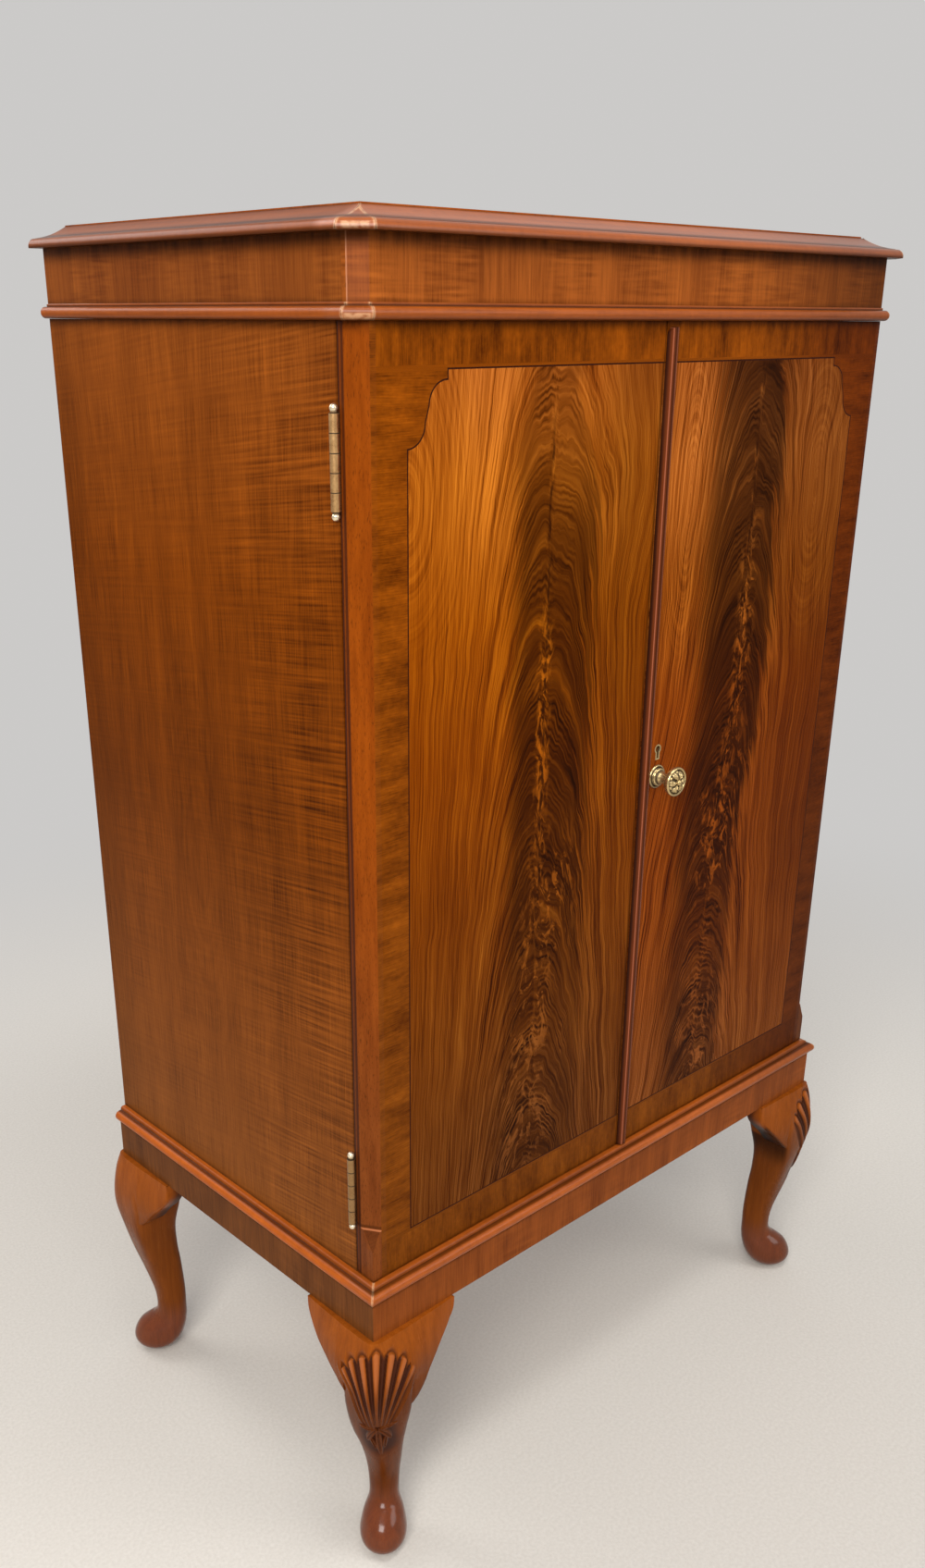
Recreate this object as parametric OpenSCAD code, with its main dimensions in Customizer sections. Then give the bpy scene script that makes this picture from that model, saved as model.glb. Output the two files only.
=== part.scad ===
// Mahogany bar cabinet on a cabriole-legged stand, with two flame-veneered doors and a lift-up lid.
// The floor is z = 0, the doors face -Y and the origin is under the middle of the whole piece.

/* [Case] */
// Width of the case over its side panels
case_w = 760; // [640:5:900]
// Depth of the case, from the door faces to the back
case_d = 471.4; // [420:0.2:540]
// Height of the case, from the top of the base moulding to the seam under the lid
case_h = 896; // [760:1:1000]
// Thickness of the side panels and of the lid rails
board_t = 18; // [15:0.5:22]
// Thickness of the back panel
back_t = 8; // [6:0.5:12]
// Height of the thicker rail along the top of the back
back_rail_h = 40; // [30:1:60]
// Depth of the well under the lid
well_h = 150; // [110:1:200]
// Height of the shelf above the case floor
shelf_z = 340; // [250:5:450]
// Setback of the shelf from the front edge of the case
shelf_setback = 40; // [25:1:80]

/* [Stand] */
// Height of the legs, from the floor to the stand frame
leg_h = 298; // [250:1:340]
// Height of the foot, from the floor to the ankle
foot_h = 56; // [50:1:62]
// Height of the apron rails
apron_h = 45.5; // [36:0.5:60]
// Thickness of the apron rails
apron_t = 20; // [17:0.5:24]
// How far the apron stands proud of the case at the front and sides
apron_proud = 8.4; // [6:0.2:10]
// Size of the square post at the top of each leg
post_w = 34; // [28:1:38]
// Height of the base moulding
base_h = 19; // [17:0.5:24]
// Reach of the base moulding beyond the case
base_reach = 14.5; // [13:0.5:17]
// Reach of each knee block along the rail, from the corner of the stand
ear_reach = 102; // [92:1:115]
// Drop of each knee block below the rail
ear_drop = 80; // [68:1:90]
// Thickness of each knee block
ear_t = 24; // [18:1:26]

/* [Doors] */
// Thickness of a door
door_t = 25.5; // [22:0.5:30]
// Gap between a door and the front edge of the case
door_gap = 1; // [0.8:0.1:1.4]
// Gap under a door
door_low_gap = 1.8; // [1:0.1:3]
// Gap between the two doors at the meeting edge
meeting_gap = 2; // [1.5:0.1:3]
// Middle of the meeting gap, left of the middle of the case
meeting_x = -4.5; // [-8:0.5:-2]
// Width of the solid outer stile of a door
stile_w = 18; // [17.5:0.5:24]
// Leg of the long chamfer on the outer stile
chamfer_leg = 16; // [12:0.5:16.5]
// Height of the square foot of the stile below the chamfer
chamfer_foot = 34; // [26:1:50]
// Height of the pointed stop of the chamfer
chamfer_stop = 22; // [16:1:30]
// Thickness of the veneers
veneer_t = 1; // [0.8:0.1:1.4]
// Width of the crossband beside the stile
band_side = 32; // [26:1:40]
// Width of the crossband along the top
band_top = 35; // [28:1:45]
// Width of the crossband along the bottom
band_low = 40; // [30:1:50]
// Width of the dark stringing line
string_w = 1.4; // [1:0.1:2]
// Width of the half-round astragal
astragal_w = 15; // [12:0.5:18]
// Height of the astragal above the door face
astragal_h = 6; // [4:0.5:7.5]

/* [Lid] */
// Gap between the case and the lid
seam_gap = 1.8; // [1.4:0.1:2.4]
// Height of the lid rails
rail_h = 60.6; // [50:0.2:75]
// Height of the bead along the bottom of the lid rails
bead_h = 9; // [7:0.5:12]
// Reach of the bead beyond the rails
bead_reach = 8.8; // [6:0.2:10]
// Height of the top moulding
top_h = 20.3; // [18:0.1:26]
// Reach of the top moulding beyond the rails
top_reach = 15.2; // [13:0.2:18]
// Width of the cove on the top moulding, inwards from the rail face
cove_in = 26.4; // [24:0.2:32]
// Height of the flat top field above the end of the cove
top_lip = 1; // [0.6:0.1:2]
// Leg of the canted front corners of the lid
cant = 12.7; // [9:0.1:15]
// Thickness of the mirror
mirror_t = 4; // [3:0.5:6]

/* [Hardware] */
// Length of a door hinge
hinge_len = 76; // [60:1:90]
// Radius of the hinge knuckles
knuckle_r = 4; // [3.4:0.1:4.6]
// Radius of the hinge pins
pin_r = 1.9; // [1.5:0.1:2.2]
// Thickness of the hinge leaves
leaf_t = 1.5; // [1.2:0.1:1.8]
// Width of a hinge leaf on the wood
leaf_w = 15; // [12:0.5:16]
// Distance of the upper door hinge from the top of the door
hinge_high = 105; // [80:1:160]
// Distance of the lower door hinge from the bottom of the door
hinge_low = 98; // [80:1:160]
// Length of a lid hinge
lid_hinge_len = 60; // [50:1:75]
// Distance of the lid hinges from the sides of the case
lid_hinge_in = 120; // [80:5:200]
// Height of the knob above the floor of the case
knob_z = 448.5; // [380:0.5:520]
// Distance of the knob and the keyhole from the meeting edge
lock_in = 28.5; // [24:0.5:34]
// Diameter of the knob head
knob_d = 31.75; // [26:0.25:36]
// Reach of the knob from the door face
knob_reach = 34; // [31:0.5:40]
// Diameter of the knob rose
rose_d = 25.5; // [22:0.5:28]
// Height of the keyhole above the knob
keyhole_up = 30; // [27:0.5:36]
// Throw of the lock bolt
lock_throw = 7; // [5:0.5:8]
// Throw of the bolt at the foot of the left door
foot_bolt_throw = 8; // [6:0.5:9]
// Radius of the quadrant stay of the lid
stay_r = 130; // [110:1:132]

/* [Hidden] */
$fn = 48;

mahogany = [0.46, 0.2, 0.09];
dark_wood = [0.3, 0.12, 0.06];
flame_wood = [0.62, 0.32, 0.12];
inner_wood = [0.66, 0.45, 0.26];
brass = [0.62, 0.5, 0.3];
ebony = [0.1, 0.05, 0.03];

// Clearances shared by pieces that meet
running = 0.05;
free = 0.3;
touch = 0.1;
skin = 0.01;

// Leg stations: height share, outer edge, inner edge, half width, squareness of the section.
// Edges lie on the diagonal through the stand's corner, and are positive outside it.
leg_upper = [
    [0, 4, -78, 41, 6], [0.09, 11, -76, 43.5, 6], [0.21, 15.5, -70, 43.5, 5],
    [0.31, 15, -65, 39.5, 5], [0.44, 7, -58, 37, 4.2], [0.57, -2, -58, 29.5, 3.4],
    [0.69, -12, -61, 23, 2.8], [0.85, -24, -63.5, 18, 2.3], [0.96, -26, -63.5, 16.5, 2.1]
];
leg_foot = [
    [0.03, -21, -63.5, 16.8, 2], [0.14, -12, -63, 18.5, 2], [0.32, 0, -61.5, 22.8, 2],
    [0.59, 7, -57, 26, 2], [0.79, 5.5, -50, 24, 2], [0.93, -4, -40, 16.5, 2],
    [1, -12, -32, 10, 2]
];
leg_steps = 2;
ring_points = 24;

function smooth(a, b, c, d, t) =
    0.5 * (2 * b + (c - a) * t + (2 * a - 5 * b + 4 * c - d) * t * t
        + (3 * b - a - 3 * c + d) * t * t * t);

leg_rows = concat(
    [for (s = leg_upper) [-(leg_h - foot_h) * s[0], s[1], s[2], s[3], s[4]]],
    [for (s = leg_foot) [-(leg_h - foot_h) - foot_h * s[0], s[1], s[2], s[3], s[4]]]
);
leg_last = len(leg_rows) - 1;
leg_rings = concat(
    [for (i = [0 : leg_last - 1]) for (k = [0 : leg_steps - 1])
        smooth(leg_rows[max(i - 1, 0)], leg_rows[i], leg_rows[i + 1],
            leg_rows[min(i + 2, leg_last)], k / leg_steps)],
    [leg_rows[leg_last]]
);

function power(v, n) = sign(v) * pow(abs(v), 2 / n);
// The superellipse reaches this far along its diagonal.
function corner_reach(n) = sqrt(2) / pow(2, 1 / n);
function ring_xy(s, a) =
    let (e = power(cos(a), s[4]), f = power(sin(a), s[4]), m = corner_reach(s[4]),
        d = (s[1] + s[2]) / 2 + (e + f) / sqrt(2) * (s[1] - s[2]) / 2 / m,
        c = (e - f) / sqrt(2) * s[3] / m)
    [(d + c) / sqrt(2), (d - c) / sqrt(2)];
// Distance of a section's flat side from the corner: outward, and inward along the rail
function side_mid(s) = (s[1] + s[2]) / 2 / sqrt(2);
function side_half(s) = ((s[1] - s[2]) / 2 + s[3]) / 2 / corner_reach(s[4]);
knee_reach = max([for (s = leg_rings) side_mid(s) + side_half(s)]);

// Levels and planes
hinge_out = knuckle_r + free;
front_y = (knob_reach - case_d - max(knee_reach, hinge_out + knuckle_r)) / 2;
back_y = front_y + case_d;
case_front = front_y + door_t + door_gap;
door_pin_y = front_y + door_t + door_gap / 2;
door_pin_x = case_w / 2 + hinge_out;
frame_z = leg_h;
frame_top = frame_z + apron_h;
floor_z = frame_top + base_h;
seam_z = floor_z + case_h;
lid_z = seam_z + seam_gap;
rail_top = lid_z + rail_h;
lid_pin_z = seam_z + seam_gap / 2;
lid_pin_y = back_y + hinge_out;
inner_x = case_w / 2 - board_t;
frame_x = case_w / 2 + apron_proud;
frame_front = front_y - apron_proud;
door_z = floor_z + door_low_gap;
door_top = seam_z;
door_h = door_top - door_z;
left_edge = meeting_x - meeting_gap / 2;
right_edge = meeting_x + meeting_gap / 2;
left_w = left_edge + case_w / 2;
right_w = case_w / 2 - right_edge;
inner_floor = floor_z + board_t;
deck_z = seam_z - well_h - board_t;
back_rail_z = seam_z - back_rail_h;
lock_x = right_edge + lock_in;
knob_height = floor_z + knob_z;
keyhole_z = knob_height + keyhole_up;

// Door hinges, measured on the door
hinge_zs = [door_z + hinge_low - hinge_len / 2, door_top - hinge_high - hinge_len / 2];
knuckles = 5;
ball_r = 3.4;
leaf_gap = 0.1;

// Notch in the top outer corner of the panel
notch_in = 44.5;
notch_drop = 8;
notch_r = 21;
notch_flat = 12;
notch_low_r = 19.5;
arc_steps = 8;

// Outline of a door's flame panel, from its outer line at x = 0, drawn inside by an inset
function panel_outline(w, h, inset) = concat(
    [[w, h - inset], [notch_in + inset, h - inset], [notch_in + inset, h - notch_drop - inset]],
    [for (i = [0 : arc_steps]) let (a = 90 * i / arc_steps)
        [notch_in - (notch_r - inset) * sin(a),
            h - notch_drop - notch_r + (notch_r - inset) * cos(a)]],
    [for (i = [0 : arc_steps]) let (a = 85 * i / arc_steps)
        [(notch_low_r + inset) * cos(a),
            h - notch_drop - notch_r - notch_flat - (notch_low_r + inset) * sin(a)]],
    [[inset, h - notch_drop - notch_r - notch_flat - notch_low_r - inset], [inset, inset], [w, inset]]
);

// Lock, set into the back of the right door's meeting edge
lock_w = 45;
lock_h = 44;
lock_t = 11;
lock_low = keyhole_z - 17;
bolt_h = 22;
bolt_t = 4.5;
bolt_z = lock_low + (lock_h - bolt_h) / 2;
bolt_y = front_y + door_t - lock_t + (lock_t - bolt_t) / 2;
key_r = 3.5;
key_slot = 3.4;
key_drop = 10;
rim = 1.6;
plate_t = 1.2;

// Bolt at the foot of the left door
foot_bolt_r = 4;
foot_bolt_len = 60;
foot_bolt_x = left_edge - 22;
foot_bolt_y = front_y + door_t - 9;
foot_plate_w = 18;

// Moulding ends: cut square at the back, mitred at a square corner, or mitred at a cant
half_turn = tan(22.5);
function mitre(d, end, c) =
    end == "cut" ? 0 : end == "square" ? d : d <= c / (1 - half_turn) ? d * half_turn : d - c;

// A profile carried along +X, its outward side facing +Y, with both ends mitred
module moulding_run(length, reach, depth, low, high, start, end, c) {
    apex = c / (1 - half_turn);
    levels = depth == 0 ? [-reach, 0] : depth > apex && c > 0 ? [-reach, apex, depth] : [-reach, depth];
    steps = len(levels) - 1;
    intersection() {
        translate([-reach * 2, 0, 0]) rotate([90, 0, 90])
            linear_extrude(length + reach * 4) children();
        translate([0, 0, low - 1]) linear_extrude(high - low + 2) polygon(concat(
            [for (d = levels) [mitre(d, start, c) + skin, -d]],
            [for (i = [steps : -1 : 0]) [length - mitre(levels[i], end, c) - skin, -levels[i]]]
        ));
    }
}

// Five mitred runs round the front and sides of the lid
module lid_runs(reach, depth, low, high) {
    cant_len = cant * sqrt(2);
    cant_depth = min(depth, cant / (1 - half_turn) - touch);
    side_len = case_d - cant;
    translate([case_w / 2 - cant, front_y, 0]) rotate([0, 0, 180])
        moulding_run(case_w - 2 * cant, reach, depth, low, high, "cant", "cant", cant) children();
    translate([-case_w / 2, front_y + cant, 0]) rotate([0, 0, 90])
        moulding_run(side_len, reach, depth, low, high, "cant", "cut", cant) children();
    translate([case_w / 2, back_y, 0]) rotate([0, 0, -90])
        moulding_run(side_len, reach, depth, low, high, "cut", "cant", cant) children();
    translate([-case_w / 2 + cant, front_y, 0]) rotate([0, 0, 135])
        moulding_run(cant_len, reach, cant_depth, low, high, "cant", "cant", cant) children();
    translate([case_w / 2, front_y + cant, 0]) rotate([0, 0, -135])
        moulding_run(cant_len, reach, cant_depth, low, high, "cant", "cant", cant) children();
}

// Plan of the lid, drawn inside by an inset
module lid_plan(inset) {
    c = max(cant - inset * (1 - half_turn), skin);
    x = case_w / 2 - inset;
    y = front_y + inset;
    polygon([[-x + c, y], [x - c, y], [x, y + c], [x, back_y], [-x, back_y], [-x, y + c]]);
}

// One cabriole leg: its corner of the stand at the origin, growing outwards to +X and +Y
module leg() {
    n = ring_points;
    last = len(leg_rings) - 1;
    color(mahogany) union() {
        polyhedron(
            points = [for (s = leg_rings) for (j = [0 : n - 1])
                let (p = ring_xy(s, 360 * j / n)) [p[0], p[1], s[0]]],
            faces = concat(
                [for (i = [0 : last - 1]) for (j = [0 : n - 1])
                    [i * n + j, i * n + (j + 1) % n, (i + 1) * n + (j + 1) % n]],
                [for (i = [0 : last - 1]) for (j = [0 : n - 1])
                    [i * n + j, (i + 1) * n + (j + 1) % n, (i + 1) * n + j]],
                [[for (j = [n - 1 : -1 : 0]) j]],
                [[for (j = [0 : n - 1]) last * n + j]]
            )
        );
        translate([-apron_t - post_w, -apron_t - post_w, -1]) cube([post_w, post_w, apron_h + 1]);
    }
}

module at_corner(x_side, back) {
    translate([x_side * frame_x, back ? back_y : frame_front, frame_z])
        mirror([x_side < 0 ? 1 : 0, 0, 0]) mirror([0, back ? 0 : 1, 0]) children();
}

module front_left_leg() at_corner(-1, false) leg();
module front_right_leg() at_corner(1, false) leg();
module back_left_leg() at_corner(-1, true) leg();
module back_right_leg() at_corner(1, true) leg();

// One knee block: along the rail from the leg, its lower edge waved, then round and upright.
// The edge is given as shares of the block's length beyond the leg and of its drop.
ear_edge = [
    [0.12, 0.91], [0.28, 0.77], [0.45, 0.65], [0.62, 0.54], [0.79, 0.41], [0.92, 0.27],
    [0.99, 0.14], [1, 0]
];
ear_proud = 4;
module knee_block() {
    beside = [for (s = leg_rings) if (s[0] > -ear_drop) [side_half(s) - side_mid(s) + free, s[0]]];
    start = beside[len(beside) - 1][0];
    edge = [for (p = ear_edge) [start + (ear_reach - start) * p[0], -ear_drop * p[1]]];
    rotate([90, 0, 0]) translate([0, 0, -ear_proud]) linear_extrude(ear_t)
        polygon([for (p = concat(beside, edge)) [-p[0], p[1]]]);
}

module knee_pair() {
    color(mahogany) knee_block();
    color(mahogany) mirror([1, -1, 0]) knee_block();
}

module front_knee_blocks() {
    at_corner(-1, false) knee_pair();
    at_corner(1, false) knee_pair();
}

module back_knee_blocks() {
    at_corner(-1, true) knee_pair();
    at_corner(1, true) knee_pair();
}

// An apron rail along +X with mitred ends, its outer face at y = 0
module apron(length) {
    color(mahogany) linear_extrude(apron_h)
        polygon([[0, 0], [length, 0], [length - apron_t, apron_t], [apron_t, apron_t]]);
}

frame_depth = back_y - frame_front;
module front_apron() translate([-frame_x, frame_front, frame_z]) apron(2 * frame_x);
module back_apron() translate([frame_x, back_y, frame_z]) rotate([0, 0, 180]) apron(2 * frame_x);
module left_apron() translate([-frame_x, back_y, frame_z]) rotate([0, 0, -90]) apron(frame_depth);
module right_apron() translate([frame_x, frame_front, frame_z]) rotate([0, 0, 90])
    apron(frame_depth);

// Base moulding: a bold bead with a small quarter round above it
base_bead_r = 6.5;
base_bead_up = 1.5;
base_top_r = 3.2;
module base_profile() {
    intersection() {
        union() {
            square([base_reach - base_bead_r, base_bead_r * 2 + 1]);
            translate([base_reach - base_bead_r, base_bead_r + base_bead_up]) circle(base_bead_r);
            translate([base_top_r, base_h - base_top_r]) circle(base_top_r);
            square([base_top_r, base_h]);
        }
        square([base_reach + 1, base_h]);
    }
}

module base_moulding() {
    color(mahogany) translate([0, 0, frame_top]) {
        translate([case_w / 2, front_y, 0]) rotate([0, 0, 180])
            moulding_run(case_w, base_reach, 0, 0, base_h, "square", "square", 0) base_profile();
        translate([-case_w / 2, front_y, 0]) rotate([0, 0, 90])
            moulding_run(case_d, base_reach, 0, 0, base_h, "square", "cut", 0) base_profile();
        translate([case_w / 2, back_y, 0]) rotate([0, 0, -90])
            moulding_run(case_d, base_reach, 0, 0, base_h, "cut", "square", 0) base_profile();
    }
}

// The sill under the doors, with the socket of the left door's bolt
sill_in = 16;
socket_over = 2;
module case_sill() {
    color(mahogany) difference() {
        translate([0, 0, frame_top]) linear_extrude(base_h) polygon([
            [-case_w / 2, front_y], [case_w / 2, front_y], [case_w / 2, case_front],
            [inner_x, case_front], [inner_x, case_front + sill_in],
            [-inner_x, case_front + sill_in], [-inner_x, case_front], [-case_w / 2, case_front]
        ]);
        translate([foot_bolt_x, foot_bolt_y, floor_z - foot_bolt_throw - socket_over])
            cylinder(r = foot_bolt_r + free, h = foot_bolt_throw + socket_over + 1);
    }
}

// Shelf pegs and their holes
peg_r = 3.5;
peg_in = 10;
peg_out = 9;
peg_front = 50;
shelf_under = floor_z + shelf_z;
peg_ys = [case_front + shelf_setback + peg_front, back_y - back_t - peg_front];
module pegs(clear) {
    for (side = [-1, 1]) for (y = peg_ys)
        translate([side * (inner_x + peg_in), y, shelf_under - peg_r])
            rotate([0, -side * 90, 0]) cylinder(r = peg_r + clear, h = peg_in + peg_out);
}

// Recesses in the case edges for the leaves of the door hinges
module leaf_recess(side) {
    for (z = hinge_zs)
        translate([side > 0 ? case_w / 2 - leaf_w : -case_w / 2 - 1, case_front - 1, z])
            cube([leaf_w + 1, 1 + leaf_gap + leaf_t - door_gap / 2, hinge_len]);
}

module side_panel(side) {
    color(mahogany) difference() {
        translate([side > 0 ? inner_x : -case_w / 2, case_front, frame_top])
            cube([board_t, back_y - case_front, seam_z - frame_top]);
        leaf_recess(side);
        pegs(running);
    }
}
module left_side() side_panel(-1);
module right_side() side_panel(1);

module case_bottom() {
    color(inner_wood) translate([-inner_x, case_front, floor_z])
        cube([2 * inner_x, back_y - back_t - case_front, board_t]);
}

module case_back() {
    color(inner_wood) translate([-inner_x, back_y - back_t, frame_top])
        cube([2 * inner_x, back_t, back_rail_z - frame_top]);
}

// Case and lid recesses for the horizontal leaves of the lid hinges
lid_hinge_xs = [-case_w / 2 + lid_hinge_in, case_w / 2 - lid_hinge_in - lid_hinge_len];
lid_leaf_sink = leaf_gap + leaf_t - seam_gap / 2;
module case_back_rail() {
    color(mahogany) difference() {
        translate([-inner_x, back_y - board_t, back_rail_z])
            cube([2 * inner_x, board_t, back_rail_h]);
        for (x = lid_hinge_xs) translate([x, back_y - leaf_w, seam_z - lid_leaf_sink])
            cube([lid_hinge_len, leaf_w + 1, lid_leaf_sink + 1]);
    }
}

module well_deck() {
    color(inner_wood) translate([-inner_x, case_front + board_t, deck_z])
        cube([2 * inner_x, back_y - back_t - case_front - board_t, board_t]);
}

module well_fascia() {
    color(mahogany) translate([-inner_x, case_front, deck_z])
        cube([2 * inner_x, board_t, seam_z - deck_z]);
}

module shelf() {
    color(inner_wood) translate([-inner_x + free, case_front + shelf_setback, shelf_under])
        cube([2 * (inner_x - free), back_y - back_t - free - case_front - shelf_setback, board_t]);
}

module shelf_pegs() color(brass) pegs(0);

// Doors are drawn with the outer edge at x = 0, the face at y = 0 and the bottom at z = 0.
module place_door(side) {
    translate([side * case_w / 2, front_y, door_z]) mirror([side > 0 ? 1 : 0, 0, 0]) children();
}

// Recesses in a door's back for the leaves of its hinges
module door_recesses() {
    for (z = hinge_zs) translate([-1, door_t + door_gap / 2 - leaf_gap - leaf_t, z - door_z])
        cube([leaf_w + 1, leaf_t + 1, hinge_len]);
}

// Solid outer stile with a long chamfer that stops in a point above a square foot
module stile() {
    color(dark_wood) difference() {
        cube([stile_w, door_t, door_h]);
        intersection() {
            translate([0, 0, chamfer_foot - 1]) linear_extrude(door_h) polygon([
                [-1, -1], [chamfer_leg + 1, -1], [chamfer_leg, 0],
                [0, chamfer_leg], [-1, chamfer_leg + 1]
            ]);
            translate([chamfer_leg / 2, chamfer_leg / 2, 0]) rotate([0, 0, 45])
                rotate([90, 0, 0]) translate([0, 0, -chamfer_leg * 2])
                linear_extrude(chamfer_leg * 4) polygon([
                    [0, chamfer_foot], [chamfer_leg, chamfer_foot + chamfer_stop],
                    [chamfer_leg, door_h + 1], [-chamfer_leg, door_h + 1],
                    [-chamfer_leg, chamfer_foot + chamfer_stop]
                ]);
        }
        door_recesses();
    }
}
module left_door_stile() place_door(-1) stile();
module right_door_stile() place_door(1) stile();

// The panel's place in a door
panel_x = stile_w + band_side;
panel_h = door_h - band_top - band_low;
module panel_shape(width, inset) {
    translate([panel_x, band_low]) polygon(panel_outline(width - panel_x, panel_h, inset));
}

// A flat layer of veneer on the face
module veneer() {
    translate([0, veneer_t, 0]) rotate([90, 0, 0]) linear_extrude(veneer_t) children();
}

module crossband(width) {
    color(mahogany) veneer() difference() {
        translate([stile_w, 0]) square([width - stile_w, door_h]);
        difference() {
            panel_shape(width, 0);
            translate([width - skin, 0]) square([1, skin]);
        }
    }
}

module stringing(width) {
    color(ebony) veneer() difference() {
        panel_shape(width, 0);
        panel_shape(width, string_w);
    }
}

module door_core(width) {
    translate([stile_w, veneer_t, 0]) cube([width - stile_w, door_t - veneer_t, door_h]);
}

module left_crossband() place_door(-1) crossband(left_w);
module right_crossband() place_door(1) crossband(right_w);
module left_stringing() place_door(-1) stringing(left_w);
module right_stringing() place_door(1) stringing(right_w);

module left_flame_veneer() {
    place_door(-1) color(flame_wood) veneer() panel_shape(left_w, string_w);
}

// Keyhole shape: a round hole with a slot below it, grown by a margin
module keyhole(grow) {
    circle(key_r + grow);
    translate([-key_slot / 2 - grow, -key_drop - grow]) square([key_slot + 2 * grow, key_drop + grow]);
}

module keyhole_cut(grow, from, to) {
    translate([lock_x, to, keyhole_z]) rotate([90, 0, 0]) linear_extrude(to - from) keyhole(grow);
}

module lock_space(clear) {
    translate([right_edge - 1, front_y + door_t - lock_t - clear, lock_low - clear])
        cube([lock_w + 1 + clear, lock_t + clear + 1, lock_h + 2 * clear]);
}

knob_screw_r = 2;
knob_screw_head = 4;
module knob_hole() {
    translate([lock_x, front_y - 1, knob_height]) rotate([-90, 0, 0])
        cylinder(r = knob_screw_r + running, h = door_t + 2);
}

module right_flame_veneer() {
    color(flame_wood) difference() {
        place_door(1) veneer() panel_shape(right_w, string_w);
        keyhole_cut(rim + running, front_y - 1, front_y + veneer_t + 1);
        knob_hole();
    }
}

// Pocket and seat in the left door for the lock bolt and its strike plate
pocket_deep = lock_throw - meeting_gap + 1;
pocket_free = free + 0.2;
module strike_pocket() {
    translate([left_edge - pocket_deep - plate_t, bolt_y - pocket_free, bolt_z - pocket_free])
        cube([pocket_deep + plate_t + 1, bolt_t + 2 * pocket_free, bolt_h + 2 * pocket_free]);
}
strike_side = 3;
strike_end = 8;
seat_free = 0.02;
module strike_seat(grow, open) {
    translate([left_edge - plate_t, bolt_y - strike_side - grow, bolt_z - strike_end - grow])
        cube([plate_t + open, bolt_t + 2 * (strike_side + grow), bolt_h + 2 * (strike_end + grow)]);
}

module left_door_core() {
    color(mahogany) difference() {
        place_door(-1) door_core(left_w);
        strike_pocket();
        strike_seat(seat_free, 1);
        foot_bolt_space();
    }
}

module right_door_core() {
    color(mahogany) difference() {
        place_door(1) door_core(right_w);
        lock_space(running);
        keyhole_cut(0.3, front_y - 1, front_y + door_t - lock_t + 1);
        keyhole_cut(rim + running, front_y - 1, front_y + veneer_t + rim);
        knob_hole();
        translate([lock_x, front_y + door_t - 3, knob_height]) rotate([-90, 0, 0])
            cylinder(r = knob_screw_head + running, h = 4);
    }
}

// Half-round astragal on the right door, its top rounded off just below the door's top
astragal_stop = 5;
module astragal() {
    r = (pow(astragal_w / 2, 2) + pow(astragal_h, 2)) / 2 / astragal_h;
    color(dark_wood) translate([right_edge + astragal_w / 2, front_y, door_z]) intersection() {
        linear_extrude(door_h) intersection() {
            translate([0, r - astragal_h]) circle(r);
            translate([-astragal_w / 2, -astragal_h - 1]) square([astragal_w, astragal_h + 1]);
        }
        rotate([90, 0, 0]) linear_extrude(astragal_h + 2) {
            translate([-astragal_w / 2, 0])
                square([astragal_w, door_h - astragal_stop - astragal_w / 2]);
            translate([0, door_h - astragal_stop - astragal_w / 2]) circle(astragal_w / 2);
        }
    }
}

// Butt hinge parts, the pin along +Z from z = 0 and the leaf running to +X at y above or below 0
module knuckle_set(length, count, odd, radius) {
    step = length / count;
    for (i = [0 : count - 1]) if (i % 2 == odd)
        translate([0, 0, i * step + touch]) cylinder(r = radius, h = step - 2 * touch);
}

module hinge_leaf(length, count, odd, y_side, reach) {
    difference() {
        union() {
            knuckle_set(length, count, odd, knuckle_r);
            translate([0, y_side > 0 ? leaf_gap : -leaf_gap - leaf_t, touch]) difference() {
                cube([reach, leaf_t, length - 2 * touch]);
                for (i = [0 : count - 1]) if (i % 2 != odd)
                    translate([-1, -1, i * length / count - 2 * touch])
                        cube([hinge_out + 1, leaf_t + 2, length / count + 2 * touch]);
            }
        }
        translate([0, 0, -1]) cylinder(r = pin_r + running, h = length + 2);
    }
}

module hinge_pin(length) {
    translate([0, 0, -1]) cylinder(r = pin_r, h = length + 2);
    translate([0, 0, -ball_r - 0.4]) sphere(ball_r);
    translate([0, 0, length + ball_r + 0.4]) sphere(ball_r);
    translate([0, 0, -1.4]) cylinder(r = ball_r - 0.6, h = 1.3);
    translate([0, 0, length + 0.1]) cylinder(r = ball_r - 0.6, h = 1.3);
}

module at_door_hinges(side) {
    for (z = hinge_zs) translate([side * door_pin_x, door_pin_y, z])
        mirror([side > 0 ? 1 : 0, 0, 0]) children();
}

module left_hinge_case_leaves() color(brass) at_door_hinges(-1)
    hinge_leaf(hinge_len, knuckles, 0, 1, hinge_out + leaf_w);
module right_hinge_case_leaves() color(brass) at_door_hinges(1)
    hinge_leaf(hinge_len, knuckles, 0, 1, hinge_out + leaf_w);
module left_hinge_door_leaves() color(brass) at_door_hinges(-1)
    hinge_leaf(hinge_len, knuckles, 1, -1, hinge_out + leaf_w);
module right_hinge_door_leaves() color(brass) at_door_hinges(1)
    hinge_leaf(hinge_len, knuckles, 1, -1, hinge_out + leaf_w);
module left_hinge_pins() color(brass) at_door_hinges(-1) hinge_pin(hinge_len);
module right_hinge_pins() color(brass) at_door_hinges(1) hinge_pin(hinge_len);

// Knob: a rose, a waisted neck and a round head, all turned about the axis through the door
rose_t = 3;
rose_edge = rose_t / 2;
head_t = 13;
neck_r = 5;
screw_short = 5;
screw_head_t = 2.6;
module turned() {
    translate([lock_x, front_y, knob_height]) rotate([90, 0, 0]) rotate_extrude() children();
}

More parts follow.
